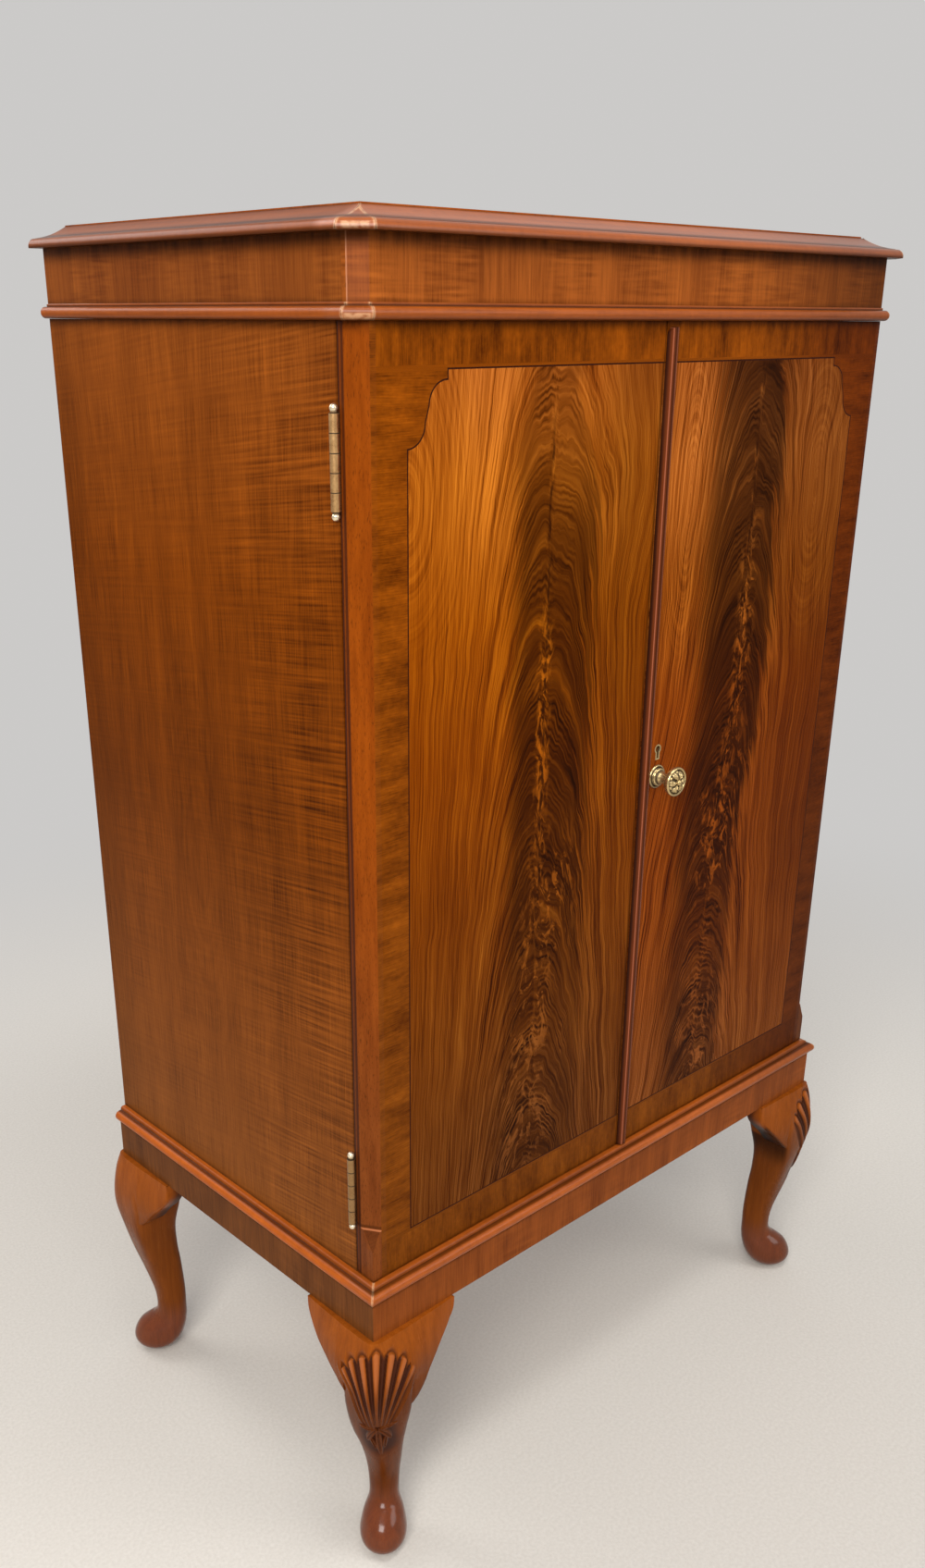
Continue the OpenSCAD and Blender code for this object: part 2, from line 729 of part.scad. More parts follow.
module knob_rose() {
    color(brass) turned() difference() {
        union() {
            square([rose_d / 2 - rose_edge, rose_t]);
            translate([rose_d / 2 - rose_edge, rose_edge]) circle(rose_edge);
        }
        translate([-1, -1]) square([1 + knob_screw_r + running, rose_t + 2]);
    }
}

module knob() {
    head_low = knob_reach - head_t;
    color(brass) turned() difference() {
        union() {
            translate([0, rose_t]) polygon([
                [0, 0], [9, 0], [9, 2], [neck_r + 1.5, 4.5], [neck_r, 8],
                [neck_r, head_low - rose_t + 1], [0, head_low - rose_t + 1]
            ]);
            translate([0, head_low]) polygon([
                [0, 0], [knob_d / 2 - 6, 0], [knob_d / 2 - 1.5, 3], [knob_d / 2, 6],
                [knob_d / 2 - 0.8, 8.5], [knob_d / 2 - 3, 10], [knob_d / 2 - 6, 10.6],
                [5.5, 11.4], [4.5, 12.8], [2, head_t], [0, head_t]
            ]);
        }
        translate([-1, -1]) square([1 + knob_screw_r + running, head_low]);
    }
}

module knob_screw() {
    color(brass) translate([lock_x, front_y + door_t - 0.2, knob_height]) rotate([90, 0, 0]) {
        cylinder(r = knob_screw_head, h = screw_head_t);
        cylinder(r = knob_screw_r, h = door_t + knob_reach - head_t - screw_short);
    }
}

module escutcheon() {
    color(brass) translate([lock_x, front_y + veneer_t + rim - 0.1, keyhole_z]) rotate([90, 0, 0])
        linear_extrude(veneer_t + rim + 0.2) difference() {
            keyhole(rim);
            keyhole(0);
        }
}

module lock_case() {
    color(brass) difference() {
        translate([right_edge, front_y + door_t - lock_t, lock_low]) cube([lock_w, lock_t, lock_h]);
        translate([right_edge - 1, bolt_y - free, bolt_z - free])
            cube([bolt_len + 2 + free, bolt_t + 2 * free, bolt_h + 2 * free]);
        keyhole_cut(0.3, front_y, front_y + door_t - 3);
    }
}

bolt_len = lock_in - key_r - 5;
module lock_bolt() {
    color(brass) translate([right_edge + 0.4, bolt_y, bolt_z]) cube([bolt_len, bolt_t, bolt_h]);
}

module strike_plate() {
    color(brass) difference() {
        strike_seat(0, 0);
        translate([left_edge - plate_t - 1, bolt_y - free, bolt_z - free])
            cube([plate_t + 3, bolt_t + 2 * free, bolt_h + 2 * free]);
    }
}

// The round bolt at the foot of the left door, in a channel open at the back, under a flush plate
bolt_rest = 1;
bolt_over = 2;
finger_h = 6;
finger_z = 38;
foot_plate_low = 12;
foot_plate_h = 50;
module foot_bolt_space() {
    translate([foot_bolt_x, foot_bolt_y, door_z - 1])
        cylinder(r = foot_bolt_r + free, h = 1 + bolt_rest + foot_bolt_len + bolt_over);
    translate([foot_bolt_x - finger_h / 2 - free, foot_bolt_y, door_z + finger_z - 2 * finger_h])
        cube([finger_h + 2 * free, door_t, finger_h * 4]);
    translate([foot_bolt_x - foot_plate_w / 2 - running, front_y + door_t - plate_t,
        door_z + foot_plate_low])
        cube([foot_plate_w + 2 * running, plate_t + 1, foot_plate_h + running]);
}

module foot_bolt() {
    color(brass) {
        translate([foot_bolt_x, foot_bolt_y, door_z + bolt_rest])
            cylinder(r = foot_bolt_r, h = foot_bolt_len);
        translate([foot_bolt_x - finger_h / 2, foot_bolt_y, door_z + finger_z])
            cube([finger_h, front_y + door_t - foot_bolt_y, finger_h]);
    }
}

module foot_bolt_plate() {
    color(brass) difference() {
        translate([foot_bolt_x - foot_plate_w / 2, front_y + door_t - plate_t,
            door_z + foot_plate_low])
            cube([foot_plate_w, plate_t, foot_plate_h]);
        translate([foot_bolt_x - finger_h / 2 - free, front_y,
            door_z + finger_z - foot_bolt_throw - 1])
            cube([finger_h + 2 * free, door_t + 1, finger_h + foot_bolt_throw + 2]);
    }
}

// Lid
module lid_panel() {
    color(mahogany) translate([0, 0, rail_top]) linear_extrude(top_h + top_lip)
        lid_plan(cove_in);
}

// Top moulding: a thumbnail bead outside and a shallow cove that rises inwards
thumb_r = 7.2;
thumb_up = 1.4;
thumb_step = 1.3;
cove_sag = 1.8;
module top_profile() {
    a = [top_reach - thumb_r - thumb_step, thumb_r + thumb_up];
    b = [-cove_in, top_h];
    half = norm(b - a) / 2;
    r = (half * half + cove_sag * cove_sag) / 2 / cove_sag;
    normal = [b[1] - a[1], a[0] - b[0]] / (2 * half);
    middle = (a + b) / 2 + normal * (r - cove_sag);
    intersection() {
        translate([top_reach - thumb_r, thumb_up]) circle(thumb_r);
        square([top_reach + 1, top_h]);
    }
    difference() {
        polygon([[-cove_in, 0], [top_reach - thumb_r, 0], [top_reach - thumb_r, a[1]], a, b]);
        translate(middle) circle(r, $fn = 360);
    }
}

module lid_moulding() {
    color(mahogany) translate([0, 0, rail_top])
        lid_runs(top_reach, cove_in, 0, top_h) top_profile();
}

bead_fillet_w = 1.6;
bead_fillet_h = 2.5;
module bead_profile() {
    square([bead_reach / 2, bead_h]);
    intersection() {
        translate([bead_reach - bead_h / 2, bead_h / 2]) circle(bead_h / 2);
        square([bead_reach + 1, bead_h]);
    }
    square([bead_fillet_w, bead_h + bead_fillet_h]);
}

module lid_bead() {
    color(mahogany) translate([0, 0, lid_z])
        lid_runs(bead_reach, 0, 0, bead_h + bead_fillet_h) bead_profile();
}

module lid_front_rail() {
    color(mahogany) translate([0, 0, lid_z]) linear_extrude(rail_h) intersection() {
        lid_plan(0);
        translate([-case_w, front_y - 1]) square([2 * case_w, board_t + 1]);
    }
}

module lid_side_rail(side) {
    color(mahogany) translate([side > 0 ? inner_x : -case_w / 2, front_y + board_t, lid_z])
        cube([board_t, case_d - board_t, rail_h]);
}
module lid_left_rail() lid_side_rail(-1);
module lid_right_rail() lid_side_rail(1);

module lid_back_rail() {
    color(mahogany) difference() {
        translate([-inner_x, back_y - board_t, lid_z]) cube([2 * inner_x, board_t, rail_h]);
        for (x = lid_hinge_xs) translate([x, back_y - leaf_w, lid_z - 1])
            cube([lid_hinge_len, leaf_w + 1, lid_leaf_sink + 1]);
    }
}

mirror_in = 6;
module lid_mirror() {
    x = inner_x - mirror_in;
    color([0.8, 0.85, 0.88]) translate([-x, front_y + board_t + mirror_in, rail_top - mirror_t])
        cube([2 * x, case_d - 2 * board_t - 2 * mirror_in, mirror_t]);
}

// Lid hinges: the same butt hinge laid along X, its leaves in the seam
module at_lid_hinges() {
    for (x = lid_hinge_xs) translate([x, lid_pin_y, lid_pin_z])
        rotate([0, 90, 0]) rotate([0, 0, -90]) children();
}

module lid_hinge_case_leaves() color(brass) at_lid_hinges()
    hinge_leaf(lid_hinge_len, knuckles, 0, 1, hinge_out + leaf_w);
module lid_hinge_lid_leaves() color(brass) at_lid_hinges()
    hinge_leaf(lid_hinge_len, knuckles, 1, -1, hinge_out + leaf_w);
module lid_hinge_pins() {
    color(brass) at_lid_hinges() translate([0, 0, -1]) cylinder(r = pin_r, h = lid_hinge_len + 2);
}

// Quadrant stay: an arc about the lid's pin, fixed to the lid's right rail, running in a keeper
stay_t = 2.5;
stay_w = 12;
stay_x = inner_x - 8;
stay_top = 8;
stay_tail = 83.5;
stay_foot = 2.5;
keeper_at = 6;
keeper_h = 9;
keeper_wall = 3;
keeper_end = 5;
keeper_below = 45;
module sector(from, to, radius) {
    polygon(concat([[0, 0]], [for (i = [0 : 4]) let (a = from + (to - from) * i / 4)
        [radius * cos(a), radius * sin(a)]]));
}

module stay_arc(from, to, x, thick, clear) {
    translate([x, lid_pin_y, lid_pin_z]) rotate([90, 0, -90]) mirror([0, 0, 1])
        linear_extrude(thick) intersection() {
            difference() {
                circle(stay_r + stay_w / 2 + clear, $fn = 180);
                circle(stay_r - stay_w / 2 - clear, $fn = 180);
            }
            sector(from, to, stay_r * 2);
        }
}

module lid_stay() {
    color(brass) {
        stay_arc(-stay_tail, stay_top, stay_x, stay_t, 0);
        stay_arc(stay_foot, stay_top, stay_x, inner_x - stay_x, 0);
    }
}

module stay_keeper() {
    color(brass) difference() {
        translate([stay_x - keeper_wall,
            lid_pin_y - stay_r * cos(keeper_at) - stay_w / 2 - keeper_end,
            lid_pin_z - stay_r * sin(keeper_at) - keeper_h / 2])
            cube([inner_x - stay_x + keeper_wall, stay_w + 2 * keeper_end, keeper_h]);
        stay_arc(-keeper_below, 0, stay_x - free, stay_t + 2 * free, free);
    }
}

front_left_leg();
front_right_leg();
back_left_leg();
back_right_leg();
front_knee_blocks();
back_knee_blocks();
front_apron();
back_apron();
left_apron();
right_apron();
base_moulding();
case_sill();
left_side();
right_side();
case_bottom();
case_back();
case_back_rail();
well_deck();
well_fascia();
shelf();
shelf_pegs();
left_door_core();
left_door_stile();
left_crossband();
left_stringing();
left_flame_veneer();
right_door_core();
right_door_stile();
right_crossband();
right_stringing();
right_flame_veneer();
astragal();
left_hinge_case_leaves();
left_hinge_door_leaves();
left_hinge_pins();
right_hinge_case_leaves();
right_hinge_door_leaves();
right_hinge_pins();
knob_rose();
knob();
knob_screw();
escutcheon();
lock_case();
lock_bolt();
strike_plate();
foot_bolt();
foot_bolt_plate();
lid_panel();
lid_moulding();
lid_front_rail();
lid_back_rail();
lid_left_rail();
lid_right_rail();
lid_bead();
lid_mirror();
lid_hinge_case_leaves();
lid_hinge_lid_leaves();
lid_hinge_pins();
lid_stay();
stay_keeper();
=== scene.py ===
"""Looks of a mahogany bar cabinet: flame-veneered doors, moulded lift-up lid, carved cabriole legs.

Lengths are millimetres, in the materials too; meshes are written in metres. The doors face -Y.
"""
import math

import bpy
import numpy as np
from mathutils import Matrix


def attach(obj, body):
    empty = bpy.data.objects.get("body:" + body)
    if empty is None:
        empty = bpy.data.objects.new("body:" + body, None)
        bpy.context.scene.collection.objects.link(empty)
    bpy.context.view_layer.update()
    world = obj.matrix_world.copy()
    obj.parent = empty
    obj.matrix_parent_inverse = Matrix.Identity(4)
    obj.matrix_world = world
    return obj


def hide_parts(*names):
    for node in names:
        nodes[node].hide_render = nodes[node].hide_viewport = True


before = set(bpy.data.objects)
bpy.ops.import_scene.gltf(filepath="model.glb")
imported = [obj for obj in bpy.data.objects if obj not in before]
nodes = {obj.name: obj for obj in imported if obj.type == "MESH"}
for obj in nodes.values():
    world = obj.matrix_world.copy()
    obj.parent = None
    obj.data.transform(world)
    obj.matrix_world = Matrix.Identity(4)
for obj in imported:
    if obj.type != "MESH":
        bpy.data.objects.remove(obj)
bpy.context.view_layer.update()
MM = 0.001


# Planes and levels of the cabinet, read from the CAD nodes
def span(name):
    """A CAD node's least and greatest corner, in millimetres."""
    corners = np.array(nodes[name].bound_box) / MM
    return corners.min(0).round(3).tolist(), corners.max(0).round(3).tolist()


_, (_, BACK, _) = span("left_side")
(_, FRAME_FRONT, FRAME_LOW), (FRAME_X, _, FRAME_TOP) = span("front_apron")
(STILE_LEFT, FRONT, DOOR_LOW), (STILE_RIGHT, DOOR_BACK, DOOR_TOP) = span("left_door_stile")
(_, _, LID_LOW), (HALF_WIDTH, _, RAIL_TOP) = span("lid_front_rail")
(KNOB_LEFT, _, KNOB_LOW), (KNOB_RIGHT, _, KNOB_HIGH) = span("knob")
(_, _, HINGE_LOW), (_, _, HINGE_HIGH) = span("left_hinge_door_leaves")
STILE_WIDE, DOOR_THICK = STILE_RIGHT - STILE_LEFT, DOOR_BACK - FRONT
KNOB_X, KNOB_Z = (KNOB_LEFT + KNOB_RIGHT) / 2, (KNOB_LOW + KNOB_HIGH) / 2

# How far the lid's canted corners reach along each side, and the door stiles' chamfers inwards and
# back; the height of a chamfer's point and of its ledge
CANT = 12.7
CHAMFER_IN, CHAMFER_BACK = 11.5, 17.4
CHAMFER_POINT, CHAMFER_LEDGE = DOOR_LOW + 34, DOOR_LOW + 55.3
# The door hinges: length, knuckles, how much longer a seat is than its leaf at each end, how far
# back its floor lies; the feet of the lower and the upper hinge, and a height between the two
HINGE_LONG, KNUCKLES, HINGE_PLAY, LEAF_SEAT = 76, 5, 0.1, 24.4
HINGE_LEVELS = (HINGE_LOW - HINGE_PLAY, HINGE_HIGH + HINGE_PLAY - HINGE_LONG)
BETWEEN_HINGES = 800
# The grain attribute counts the length along a run from this much further for each next run
RUN_APART = 900


# Materials: values and node trees
class Value:
    """A number, colour or shader in a node tree. Python's operators on it add Math nodes."""

    def __init__(self, tree, socket):
        self.tree = tree
        self.socket = socket

    def math(self, operation, *values):
        return self.tree.node("ShaderNodeMath", {"operation": operation}, *values)

    def __add__(self, other):
        return self.math("ADD", self, other)

    __radd__ = __add__

    def __sub__(self, other):
        return self.math("SUBTRACT", self, other)

    def __rsub__(self, other):
        return self.math("SUBTRACT", other, self)

    def __mul__(self, other):
        return self.math("MULTIPLY", self, other)

    __rmul__ = __mul__

    def __truediv__(self, other):
        return self.math("DIVIDE", self, other)

    def __pow__(self, other):
        return self.math("POWER", self, other)

    def __neg__(self):
        return self.math("MULTIPLY", self, -1)

    def __abs__(self):
        return self.math("ABSOLUTE", self)

    def wave(self):
        """The sine of the value."""
        return self.math("SINE", self)

    def fraction(self):
        """What the value holds above the whole number below it."""
        return self.math("FRACT", self)

    def at_least(self, other):
        return self.math("MAXIMUM", self, other)

    def at_most(self, other):
        return self.math("MINIMUM", self, other)

    def clamped(self):
        """The value kept within 0 and 1."""
        return self.at_least(0).at_most(1)

    def rise(self, low, high):
        """0 below low, 1 above high, a smooth step between; it falls instead if high < low."""
        start, end = (0, 1) if low < high else (1, 0)
        return self.tree.node("ShaderNodeMapRange", {"interpolation_type": "SMOOTHSTEP"}, self,
                              min(low, high), max(low, high), start, end)

    def bump_at(self, middle, width):
        """1 at middle, falling smoothly to 0 at a distance of width."""
        return abs(self - middle).rise(width, 0)


class Tree:
    """A node tree, emptied. Every node in it comes from one method."""

    def __init__(self, tree):
        self.tree = tree
        tree.nodes.clear()

    def node(self, kind, settings, *values, out=0, **named):
        """Adds a node: its settings first, then its sockets in order or by name."""
        made = self.tree.nodes.new(kind)
        for key, setting in settings.items():
            if key == "stops":
                self.set_stops(made.color_ramp, setting)
            else:
                setattr(made, key, setting)
        for place, value in [*enumerate(values), *named.items()]:
            self.feed(made.inputs[place], value)
        return made if out is None else Value(self, made.outputs[out])

    def set_stops(self, ramp, stops):
        """A colour ramp's stops, from a list of (position, colour)."""
        while len(ramp.elements) < len(stops):
            ramp.elements.new(0.5)
        for element, (position, colour) in zip(ramp.elements, stops):
            element.position = position
            element.color = (*colour, 1)

    def feed(self, socket, value):
        """Links a value to a socket, or sets the socket to a constant; None leaves it alone."""
        if isinstance(value, Value):
            self.tree.links.new(value.socket, socket)
        elif value is not None:
            socket.default_value = value


class Finish(Tree):
    """One procedural material, built on Object coordinates in millimetres."""

    def __init__(self, name):
        self.material = bpy.data.materials.new(name)
        self.material.use_nodes = True
        super().__init__(self.material.node_tree)
        place = self.node("ShaderNodeTexCoord", {}, out="Object")
        self.x, self.y, self.z = [part * 1000 for part in self.parts(place)]

    def parts(self, vector):
        """The three numbers of a vector."""
        split = self.node("ShaderNodeSeparateXYZ", {}, vector, out=None)
        return [Value(self, socket) for socket in split.outputs]

    def mark(self, name, out="Fac"):
        """What the piece's own attribute holds."""
        return self.node("ShaderNodeAttribute", {"attribute_name": name}, out=out)

    def noise(self, x, y, z=0, detail=2, rough=0.5, bend=0):
        """Noise about 0, mostly within -1 to 1, at the place (x, y, z)."""
        at = self.node("ShaderNodeCombineXYZ", {}, x, y, z)
        raw = self.node("ShaderNodeTexNoise", {"noise_dimensions": "3D"}, Vector=at, Scale=1,
                        Detail=detail, Roughness=rough, Distortion=bend)
        return (raw - 0.5) * 3.2

    def mix(self, share, first, second, how="MIX"):
        """A colour: first where share is 0, second where it is 1."""
        settings = {"data_type": "RGBA", "blend_type": how, "clamp_factor": True}
        made = self.node("ShaderNodeMix", settings, share, out=None)
        for place, colour in ((6, first), (7, second)):
            self.feed(made.inputs[place], colour if isinstance(colour, Value) else (*colour, 1))
        return Value(self, made.outputs[2])

    def ramp(self, value, stops):
        """A colour read from a list of (position, colour)."""
        return self.node("ShaderNodeValToRGB", {"stops": stops}, value)

    def shaded(self, colour, amount):
        """The colour made lighter or darker by a factor that varies."""
        return self.node("ShaderNodeVectorMath", {"operation": "SCALE"}, colour, Scale=amount)

    def near_levels(self, lines):
        """The sum of soft lines at heights, each a height, its reach and its strength."""
        return sum(self.z.bump_at(level, reach) * strength for level, reach, strength in lines)

    def painted_corner_shade(self):
        """1, falling in painted shade: under the lid's mouldings and by the base moulding."""
        patchy = 0.8 + self.noise(self.x / 9, self.y / 9, 0) * 0.3
        return 1 - self.near_levels(PAINTED_CORNER_SHADE) * patchy

    def surface(self, colour, roughness, height=None, relief=0, metallic=0, coat=0,
                coat_rough=0.1, gloss=0.05):
        """A Principled shader; height gives bumps that are relief deep."""
        bump = None
        if height is not None:
            bump = self.node("ShaderNodeBump", {}, Strength=1, Distance=relief * MM,
                             Height=height, out="Normal")
        return self.node("ShaderNodeBsdfPrincipled", {}, **{
            "Base Color": colour, "Roughness": roughness, "Metallic": metallic, "Normal": bump,
            "Coat Weight": coat, "Coat Roughness": coat_rough, "Specular IOR Level": gloss})

    def shown(self, shader):
        """The material, with the shader at its output."""
        self.node("ShaderNodeOutputMaterial", {}, shader, out=None)
        return self.material

    def finish(self, *signals, **constants):
        """The material with one Principled surface, as surface makes it."""
        return self.shown(self.surface(*signals, **constants))


# Height, reach and strength of painted shade by the lid's bead and moulding and the base moulding
PAINTED_CORNER_SHADE = ((LID_LOW - 0.3, 13, 0.65), (RAIL_TOP + 0.1, 16, 0.82), (LID_LOW + 11.2, 5, 0.4),
               (FRAME_TOP + 19.5, 6, 0.45), (FRAME_TOP - 0.5, 5, 0.4))
# The same for the painted shade in the quirks and under the rounds of all three mouldings
PAINTED_QUIRK_SHADE = ((RAIL_TOP + 9.8, 2.8, 0.75), (RAIL_TOP + 0.1, 4.2, 0.7), (LID_LOW + 9.3, 1.5, 0.7),
          (LID_LOW - 1.6, 3, 0.6), (FRAME_TOP + 16.9, 3, 0.45), (FRAME_TOP + 14.7, 1.5, 0.7),
          (FRAME_TOP + 1.1, 3.2, 0.6), (RAIL_TOP + 20, 1.6, 0.5))


def linear(red, green, blue):
    """An sRGB colour of 0 to 255 as the linear colour that a shader takes."""
    return tuple(
        (c / 12.92 if c <= 0.04045 else ((c + 0.055) / 1.055) ** 2.4)
        for c in (red / 255, green / 255, blue / 255))


def by_height(*colours):
    """Colour stops at even heights, from the foot of the doors to their head."""
    return [(k / (len(colours) - 1), linear(*colour)) for k, colour in enumerate(colours)]


def oval(x, z, narrow):
    """Distance round a long oval: the root of narrow times x squared, plus z squared."""
    return (x * x * narrow + z * z) ** 0.5


# The woods
def pores(f, across, along, deep, seed=0):
    """Open pores: short dark ticks along the grain, 1 in a pore."""
    return f.noise(across / 0.55, along / 7, deep / 3 + seed, detail=1).rise(0.45, 0.95)


def grain_wood(name, axes, dark, light, seed=0, ripple=0, ripple_step=6.5, rough=0.34, coat=0,
               fade=0, gloss=0.03, cant=0):
    """Polished straight-grained wood.

    Colour runs between dark and light by fibre streaks and broad bands; ripple is the strength of
    the fiddleback bars that cross the grain, fade how much it darkens to the cabinet's right, and
    cant how strong a painted highlight is on the lid's canted corners, brightest in a line at their
    outer edge.
    """
    f = Finish(name)
    across, along, deep = [getattr(f, axis) for axis in axes]
    drift = f.noise(along / 260, across / 90, deep / 90 + seed) * 5
    across = across + drift
    band = f.noise(across / 22, along / 420, deep / 30 + seed, detail=3)
    fibre = f.noise(across / 1.5, along / 55, deep / 6 + seed, detail=3, rough=0.6)
    tick = pores(f, across, along, deep, seed)
    cloud = f.noise(across / 60, along / 90, deep / 60 + seed + 9, detail=1)
    bars = f.noise(along / ripple_step, across / 42, deep / 40 + seed, detail=1.5, rough=0.4)
    patch = f.noise(along / 120, across / 60, deep / 60 + seed + 4).rise(-0.5, 0.6)
    value = (0.5 + band * 0.26 + fibre * 0.3 + cloud * 0.12 + bars * patch * ripple).clamped()
    colour = f.mix(value, dark, light)
    if cant:
        # Painted highlight on the lid's canted corners, with a brighter line at their outer edge
        cant_highlight = f.y.rise(FRONT + 13.18, FRONT + 12.58) * cant
        inward = HALF_WIDTH - abs(f.x)
        colour = f.mix(inward.rise(13, 12.2) * cant_highlight, colour, linear(122, 66, 44))
        colour = f.mix(inward.rise(1.1, 0.1) * cant_highlight, colour, linear(214, 150, 112))
    # Pores; painted shade under the mouldings and by the base moulding; darker to the right
    colour = f.shaded(colour, (1 - tick * 0.34) * f.painted_corner_shade()
                      * (1 - f.x.rise(60, 390) * fade))
    roughness = rough + fibre * 0.03 + tick * 0.1 + cloud * 0.02
    height = fibre * 0.12 + bars * 0.1 - tick * 0.7
    return f.finish(colour, roughness, height, 0.05, coat=coat, coat_rough=0.16, gloss=gloss)


def side_wood():
    """Side panels: straight grain about long pale ovals, fiddleback bars towards the doors."""
    f = Finish("side_mahogany")
    drift = f.noise(f.z / 300, f.y / 90, f.x / 400) * 6
    y = f.y + drift
    band = f.noise(y / 26, f.z / 500, f.x / 400, detail=3)
    fibre = f.noise(y / 1.3, f.z / 60, f.x / 400, detail=3, rough=0.65)
    cloud = f.noise(y / 70, f.z / 110, f.x / 400 + 9, detail=2)
    around = oval(y - 40, f.z - 740, 11)
    ovals = f.noise(around / 26, 0, 3, detail=2) * around.rise(330, 130)
    near = f.y.rise(10, -170)
    bars = f.noise(f.z / 2.9 + f.y / 24, f.y / 110, f.x / 400 + 2, detail=1, rough=0.5)
    patch = f.noise(f.z / 130, f.y / 60, 4).rise(-1, 0.4)
    pale = f.noise(f.z / 160, (y - 20) / 16, 12, detail=2).rise(0.1, 0.9)
    value = (0.46 + band * 0.15 + fibre * 0.34 + cloud * 0.1 + ovals * 0.14
             + bars * (near * 0.4 + 0.1) * patch + pale * 0.14 * f.z.rise(500, 1000))
    value = value.clamped()
    high = (f.z - 380) / 880
    dark = f.ramp(high, by_height((84, 44, 16), (78, 37, 9), (60, 24, 2), (66, 26, 2), (84, 36, 6)))
    light = f.ramp(high, by_height((150, 86, 34), (146, 79, 25), (132, 64, 7), (148, 72, 8),
                                   (162, 86, 26)))
    tick = pores(f, y, f.z, f.x / 400, 1)
    # Darker at the front edge and towards the back; painted shade under the lid and by the base
    edge = 1 - f.y.rise(-196, -203) * 0.4 - f.y.rise(150, 245) * 0.18
    edge = edge * f.painted_corner_shade()
    colour = f.shaded(f.mix(value, dark, light), (1 - tick * 0.3) * edge)
    rough = 0.3 + fibre * 0.03 + tick * 0.08 + cloud * 0.02
    return f.finish(colour, rough, fibre * 0.15 + bars * near * 0.1 - tick * 0.6, 0.03, gloss=0.02)


def run_wood(name, dark, light, seed):
    """Moulding wood: grain along each run by the grain attribute, painted highlight at mitres."""
    f = Finish(name)
    along, across, mitre = f.parts(f.mark("grain", "Vector"))
    band = f.noise(across / 9, along / 260, seed, detail=3)
    fibre = f.noise(across / 1.2, along / 40, seed + 3, detail=2, rough=0.6)
    bars = f.noise(along / 7, across / 14, seed + 5, detail=2)
    tick = pores(f, across, along, 0 * along, seed)
    value = (0.5 + band * 0.2 + fibre * 0.14 + bars * 0.08).clamped()
    colour = f.mix(value, dark, light)
    # Painted highlight at the mitres and on the rounds of the near canted corner, mottled
    highlight_mottle = f.noise(f.x / 5, f.y / 5, f.z / 4, detail=2).rise(-1, 0.3)
    noses = f.z.bump_at(RAIL_TOP + 3.1, 3.6) + f.z.bump_at(LID_LOW + 1.3, 3.4)
    cant = along.bump_at(RUN_APART + 9, 13).rise(0, 0.2) * noses.rise(0, 0.5)
    painted_highlight = mitre.rise(2.6, 0.2).at_least(cant) * highlight_mottle
    colour = f.mix(painted_highlight * 0.6, colour, linear(222, 172, 128))
    # Dark lines: the mitre joints, and painted shade in the quirks and under the rounds
    joints_and_painted_shade = mitre.rise(0.5, 0.1)
    joints_and_painted_shade = joints_and_painted_shade * 0.35 + f.near_levels(PAINTED_QUIRK_SHADE)
    # Painted shade on the lid's side runs; darker to the right; base lighter, as painted highlight
    behind, on_top, on_base = f.y.rise(-206, -190), f.z.rise(1300, 1310), f.z.rise(372, 366)
    far = 1 - behind * on_top * 0.3
    far = far * (1 - f.x.rise(100, 380) * 0.25)
    far = far * (1 + on_base * (behind * 0.22 + 0.18))
    colour = f.shaded(colour, (1 - tick * 0.25) * (1 - joints_and_painted_shade.at_most(0.85)) * far)
    shine = (1 - behind * 0.85) * (1 - joints_and_painted_shade.at_most(0.95))
    shine = shine * (on_top * 0.3 + 0.35)
    return f.finish(colour, 0.3 + fibre * 0.03 + tick * 0.1, fibre * 0.2 - tick * 0.6, 0.04,
                    coat=shine, coat_rough=0.32, gloss=0.08)


def leg_wood():
    """Solid leg wood: orange at the knee, red-brown towards the foot, dark in the carving."""
    f = Finish("leg_mahogany")
    grain = f.noise(f.x / 7, f.y / 7, f.z / 110, detail=3, rough=0.55)
    fibre = f.noise(f.x / 1.3, f.y / 1.3, f.z / 36, detail=2, rough=0.6)
    cloud = f.noise(f.x / 30, f.y / 30, f.z / 45, detail=2)
    hollow = f.mark("carve")
    knee = (f.z + cloud * 14).rise(190, 284)
    value = (0.5 + grain * 0.22 + fibre * 0.14).clamped()
    foot = f.mix(value, linear(70, 28, 8), linear(124, 58, 20))
    stem = f.mix(value, linear(62, 25, 4), linear(112, 54, 10))
    sunny = f.mix(value, linear(78, 34, 6), linear(134, 70, 20))
    stem = f.mix((f.x + f.y).rise(-560, -300), stem, sunny)
    low = f.mix(f.z.rise(40, 90), foot, stem)
    high = f.mix(value, linear(100, 43, 6), linear(166, 86, 22))
    colour = f.mix(knee, low, high)
    # Painted highlight on the crowns of the shell's rods, where the mark is below 0
    colour = f.mix((-hollow).rise(0.2, 1) * 0.35, colour, linear(206, 122, 74))
    # Patina in the carving's grooves; painted shade on its ground and the knee blocks' undersides
    colour = f.mix(hollow.rise(0.04, 0.85) * 0.9, colour, linear(50, 22, 14))
    tick = f.noise(f.x / 0.8, f.y / 0.8, f.z / 9, detail=1).rise(0.6, 1)
    # Painted shadow under the right front leg's knee block; darker on the right legs
    inward = FRAME_X - abs(f.x)
    below = 206 + (inward - 36) * 1.07 - f.z
    painted_shade_beneath = (below.rise(44, 4) * below.rise(-4, 1) * inward.rise(38, 46)
             * inward.rise(96, 88) * f.y.rise(0, -10) * f.x.rise(0, 10))
    colour = f.shaded(colour, (1 - tick * 0.2) * (1 - f.x.rise(250, 350) * 0.14)
                      * (1 - painted_shade_beneath * 0.78))
    rough = 0.26 + fibre * 0.02 + tick * 0.08 + hollow.at_least(0) * 0.2 + cloud * 0.02
    return f.finish(colour, rough, fibre * 0.15 - tick * 0.5, 0.04, gloss=0.06,
                    coat=f.z.rise(85, 45) * 0.6, coat_rough=0.16)


